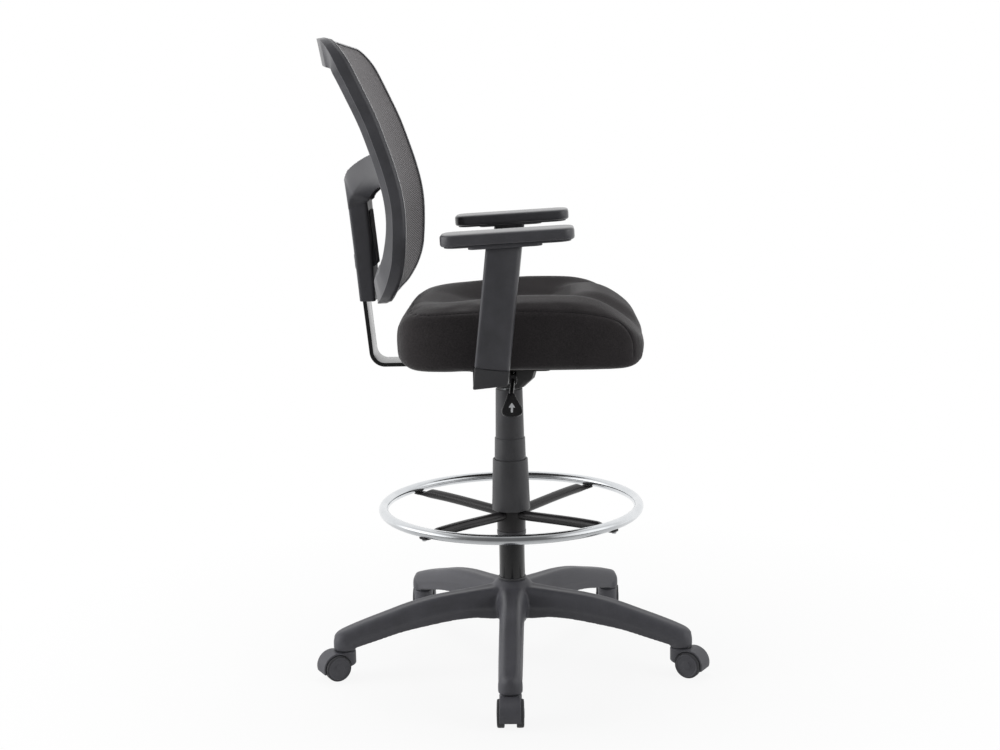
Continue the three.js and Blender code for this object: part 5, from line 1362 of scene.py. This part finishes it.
# %% Floor
def studio_floor():
    bpy.ops.mesh.primitive_plane_add(size=16)
    floor = bpy.context.object
    floor.name = "floor"
    material = bpy.data.materials.new("white studio floor")
    material.use_nodes = True
    tree = material.node_tree
    tree.nodes.clear()
    rays = add(tree, "ShaderNodeLightPath")
    place = add(tree, "ShaderNodeTexCoord").outputs["Object"]
    away = add(tree, "ShaderNodeVectorMath", {0: place}, operation="LENGTH").outputs["Value"]
    ahead = add(tree, "ShaderNodeSeparateXYZ", {0: place}).outputs["X"]
    seen = add(tree, "ShaderNodeMath", {0: rays.outputs["Is Camera Ray"], 1: ranged(tree, away, 0.35, 1.1, 0.9, 1.0)},
               operation="MULTIPLY")
    mirrored = add(tree, "ShaderNodeMath", {0: rays.outputs["Is Glossy Ray"], 1: rays.outputs["Is Transmission Ray"]},
                   operation="MAXIMUM")
    shown = add(tree, "ShaderNodeMath", {0: seen.outputs[0], 1: mirrored.outputs[0]}, operation="MAXIMUM")
    strength = add(tree, "ShaderNodeMath", {0: rays.outputs["Is Camera Ray"],
                                            1: ranged(tree, ahead, -1.3, 0.7, DIM_SIDE, 1.0)}, operation="MAXIMUM")
    paint = add(tree, "ShaderNodeBsdfDiffuse", {"Color": srgb("#c9c9c9")})
    white = add(tree, "ShaderNodeEmission", {"Color": (1, 1, 1, 1), "Strength": strength.outputs[0]})
    surface = add(tree, "ShaderNodeMixShader", {0: shown.outputs[0], 1: paint.outputs[0], 2: white.outputs[0]})
    add(tree, "ShaderNodeOutputMaterial", {"Surface": surface.outputs[0]})
    floor.data.materials.append(material)
    return floor


def studio_world():
    world = bpy.data.worlds.new("white studio")
    bpy.context.scene.world = world
    world.use_nodes = True
    tree = world.node_tree
    tree.nodes.clear()
    rays = add(tree, "ShaderNodeLightPath")
    towards = add(tree, "ShaderNodeTexCoord").outputs["Generated"]
    ahead = add(tree, "ShaderNodeSeparateXYZ", {0: towards}).outputs["X"]
    mirrored = add(tree, "ShaderNodeMath", {0: rays.outputs["Is Glossy Ray"], 1: rays.outputs["Is Transmission Ray"]},
                   operation="MAXIMUM")
    shine = ranged(tree, ahead, -0.7, 0.5, DIM_SIDE, 1.0)
    for direction, power in GLOWS:  # soft glows where the strongest lamps stand
        facing = add(tree, "ShaderNodeVectorMath", {0: towards, 1: Vector(direction).normalized()},
                     operation="DOT_PRODUCT")
        glow = add(tree, "ShaderNodeMapRange", {"Value": facing.outputs["Value"], "From Min": 0.78, "From Max": 1.0,
                                                "To Max": power}, interpolation_type="SMOOTHSTEP")
        shine = add(tree, "ShaderNodeMath", {0: shine, 1: glow.outputs[0]}, operation="ADD").outputs[0]
    room = add(tree, "ShaderNodeMapRange", {"Value": mirrored.outputs[0], "To Min": 0.35, "To Max": shine})
    strength = add(tree, "ShaderNodeMath", {0: room.outputs[0], 1: rays.outputs["Is Camera Ray"]}, operation="MAXIMUM")
    glow = add(tree, "ShaderNodeBackground", {"Color": (1, 1, 1, 1), "Strength": strength.outputs[0]})
    add(tree, "ShaderNodeOutputWorld", {"Surface": glow.outputs[0]})


def soft_lamp(name, place, aim, size, watts):
    """A disk of light that shiny parts don't mirror: the world shows them a soft glow in its place."""
    data = bpy.data.lights.new(name, "AREA")
    data.shape, data.size, data.energy = "DISK", size, watts
    lamp = shown(name, data)
    lamp.location = place
    lamp.rotation_euler = (Vector(aim) - Vector(place)).to_track_quat("-Z", "Y").to_euler()
    lamp.visible_glossy = False


# Where the rear and the front lamp glow in shiny parts, and how much brighter than the room.
GLOWS = [((-0.6, 2.7, 0.3), 1.2), ((-1.15, -2.8, 0.8), 0.8)]
DIM_SIDE = 0.16  # how bright the room behind the camera looks in shiny parts
studio_floor()
studio_world()
soft_lamp("top light", (0.9, 0.2, 3.2), (0, 0, 0.6), 2.0, 54)
soft_lamp("rear light", (-0.6, 2.7, 1.05), (0, 0.1, 0.9), 1.9, 66)
soft_lamp("far light", (2.4, 1.8, 0.95), (0, 0.1, 0.75), 1.8, 22)
soft_lamp("side light", (-2.3, 1.7, 1.6), (0, 0, 0.7), 1.6, 6)
soft_lamp("front light", (-1.15, -2.8, 1.6), (0, 0, 0.85), 1.5, 44)

# %% Camera
# The camera stands 2.9 m off the chair's right side, about as high as the chair, and looks slightly
# down. Its small roll is part of the view.
def studio_camera():
    data = bpy.data.cameras.new("camera")
    data.lens, data.sensor_width = 55.08, 36.0
    camera = shown("camera", data)
    bpy.context.scene.camera = camera
    pitch, roll = 0.1682, 0.019
    level = Vector((0.99964, 0.0267, 0)).normalized()
    side = Vector((level.y, -level.x, 0))
    view = level * math.cos(pitch) - Vector((0, 0, math.sin(pitch)))
    up = level * math.sin(pitch) + Vector((0, 0, math.cos(pitch)))
    right = side * math.cos(roll) - up * math.sin(roll)
    top = side * math.sin(roll) + up * math.cos(roll)
    turned_to = Matrix((right, top, -view)).transposed().to_4x4()
    camera.matrix_world = Matrix.Translation((-2.9009, -0.0606, 1.0575)) @ turned_to
    return camera


studio_camera()
bpy.context.scene.view_settings.view_transform = "Standard"
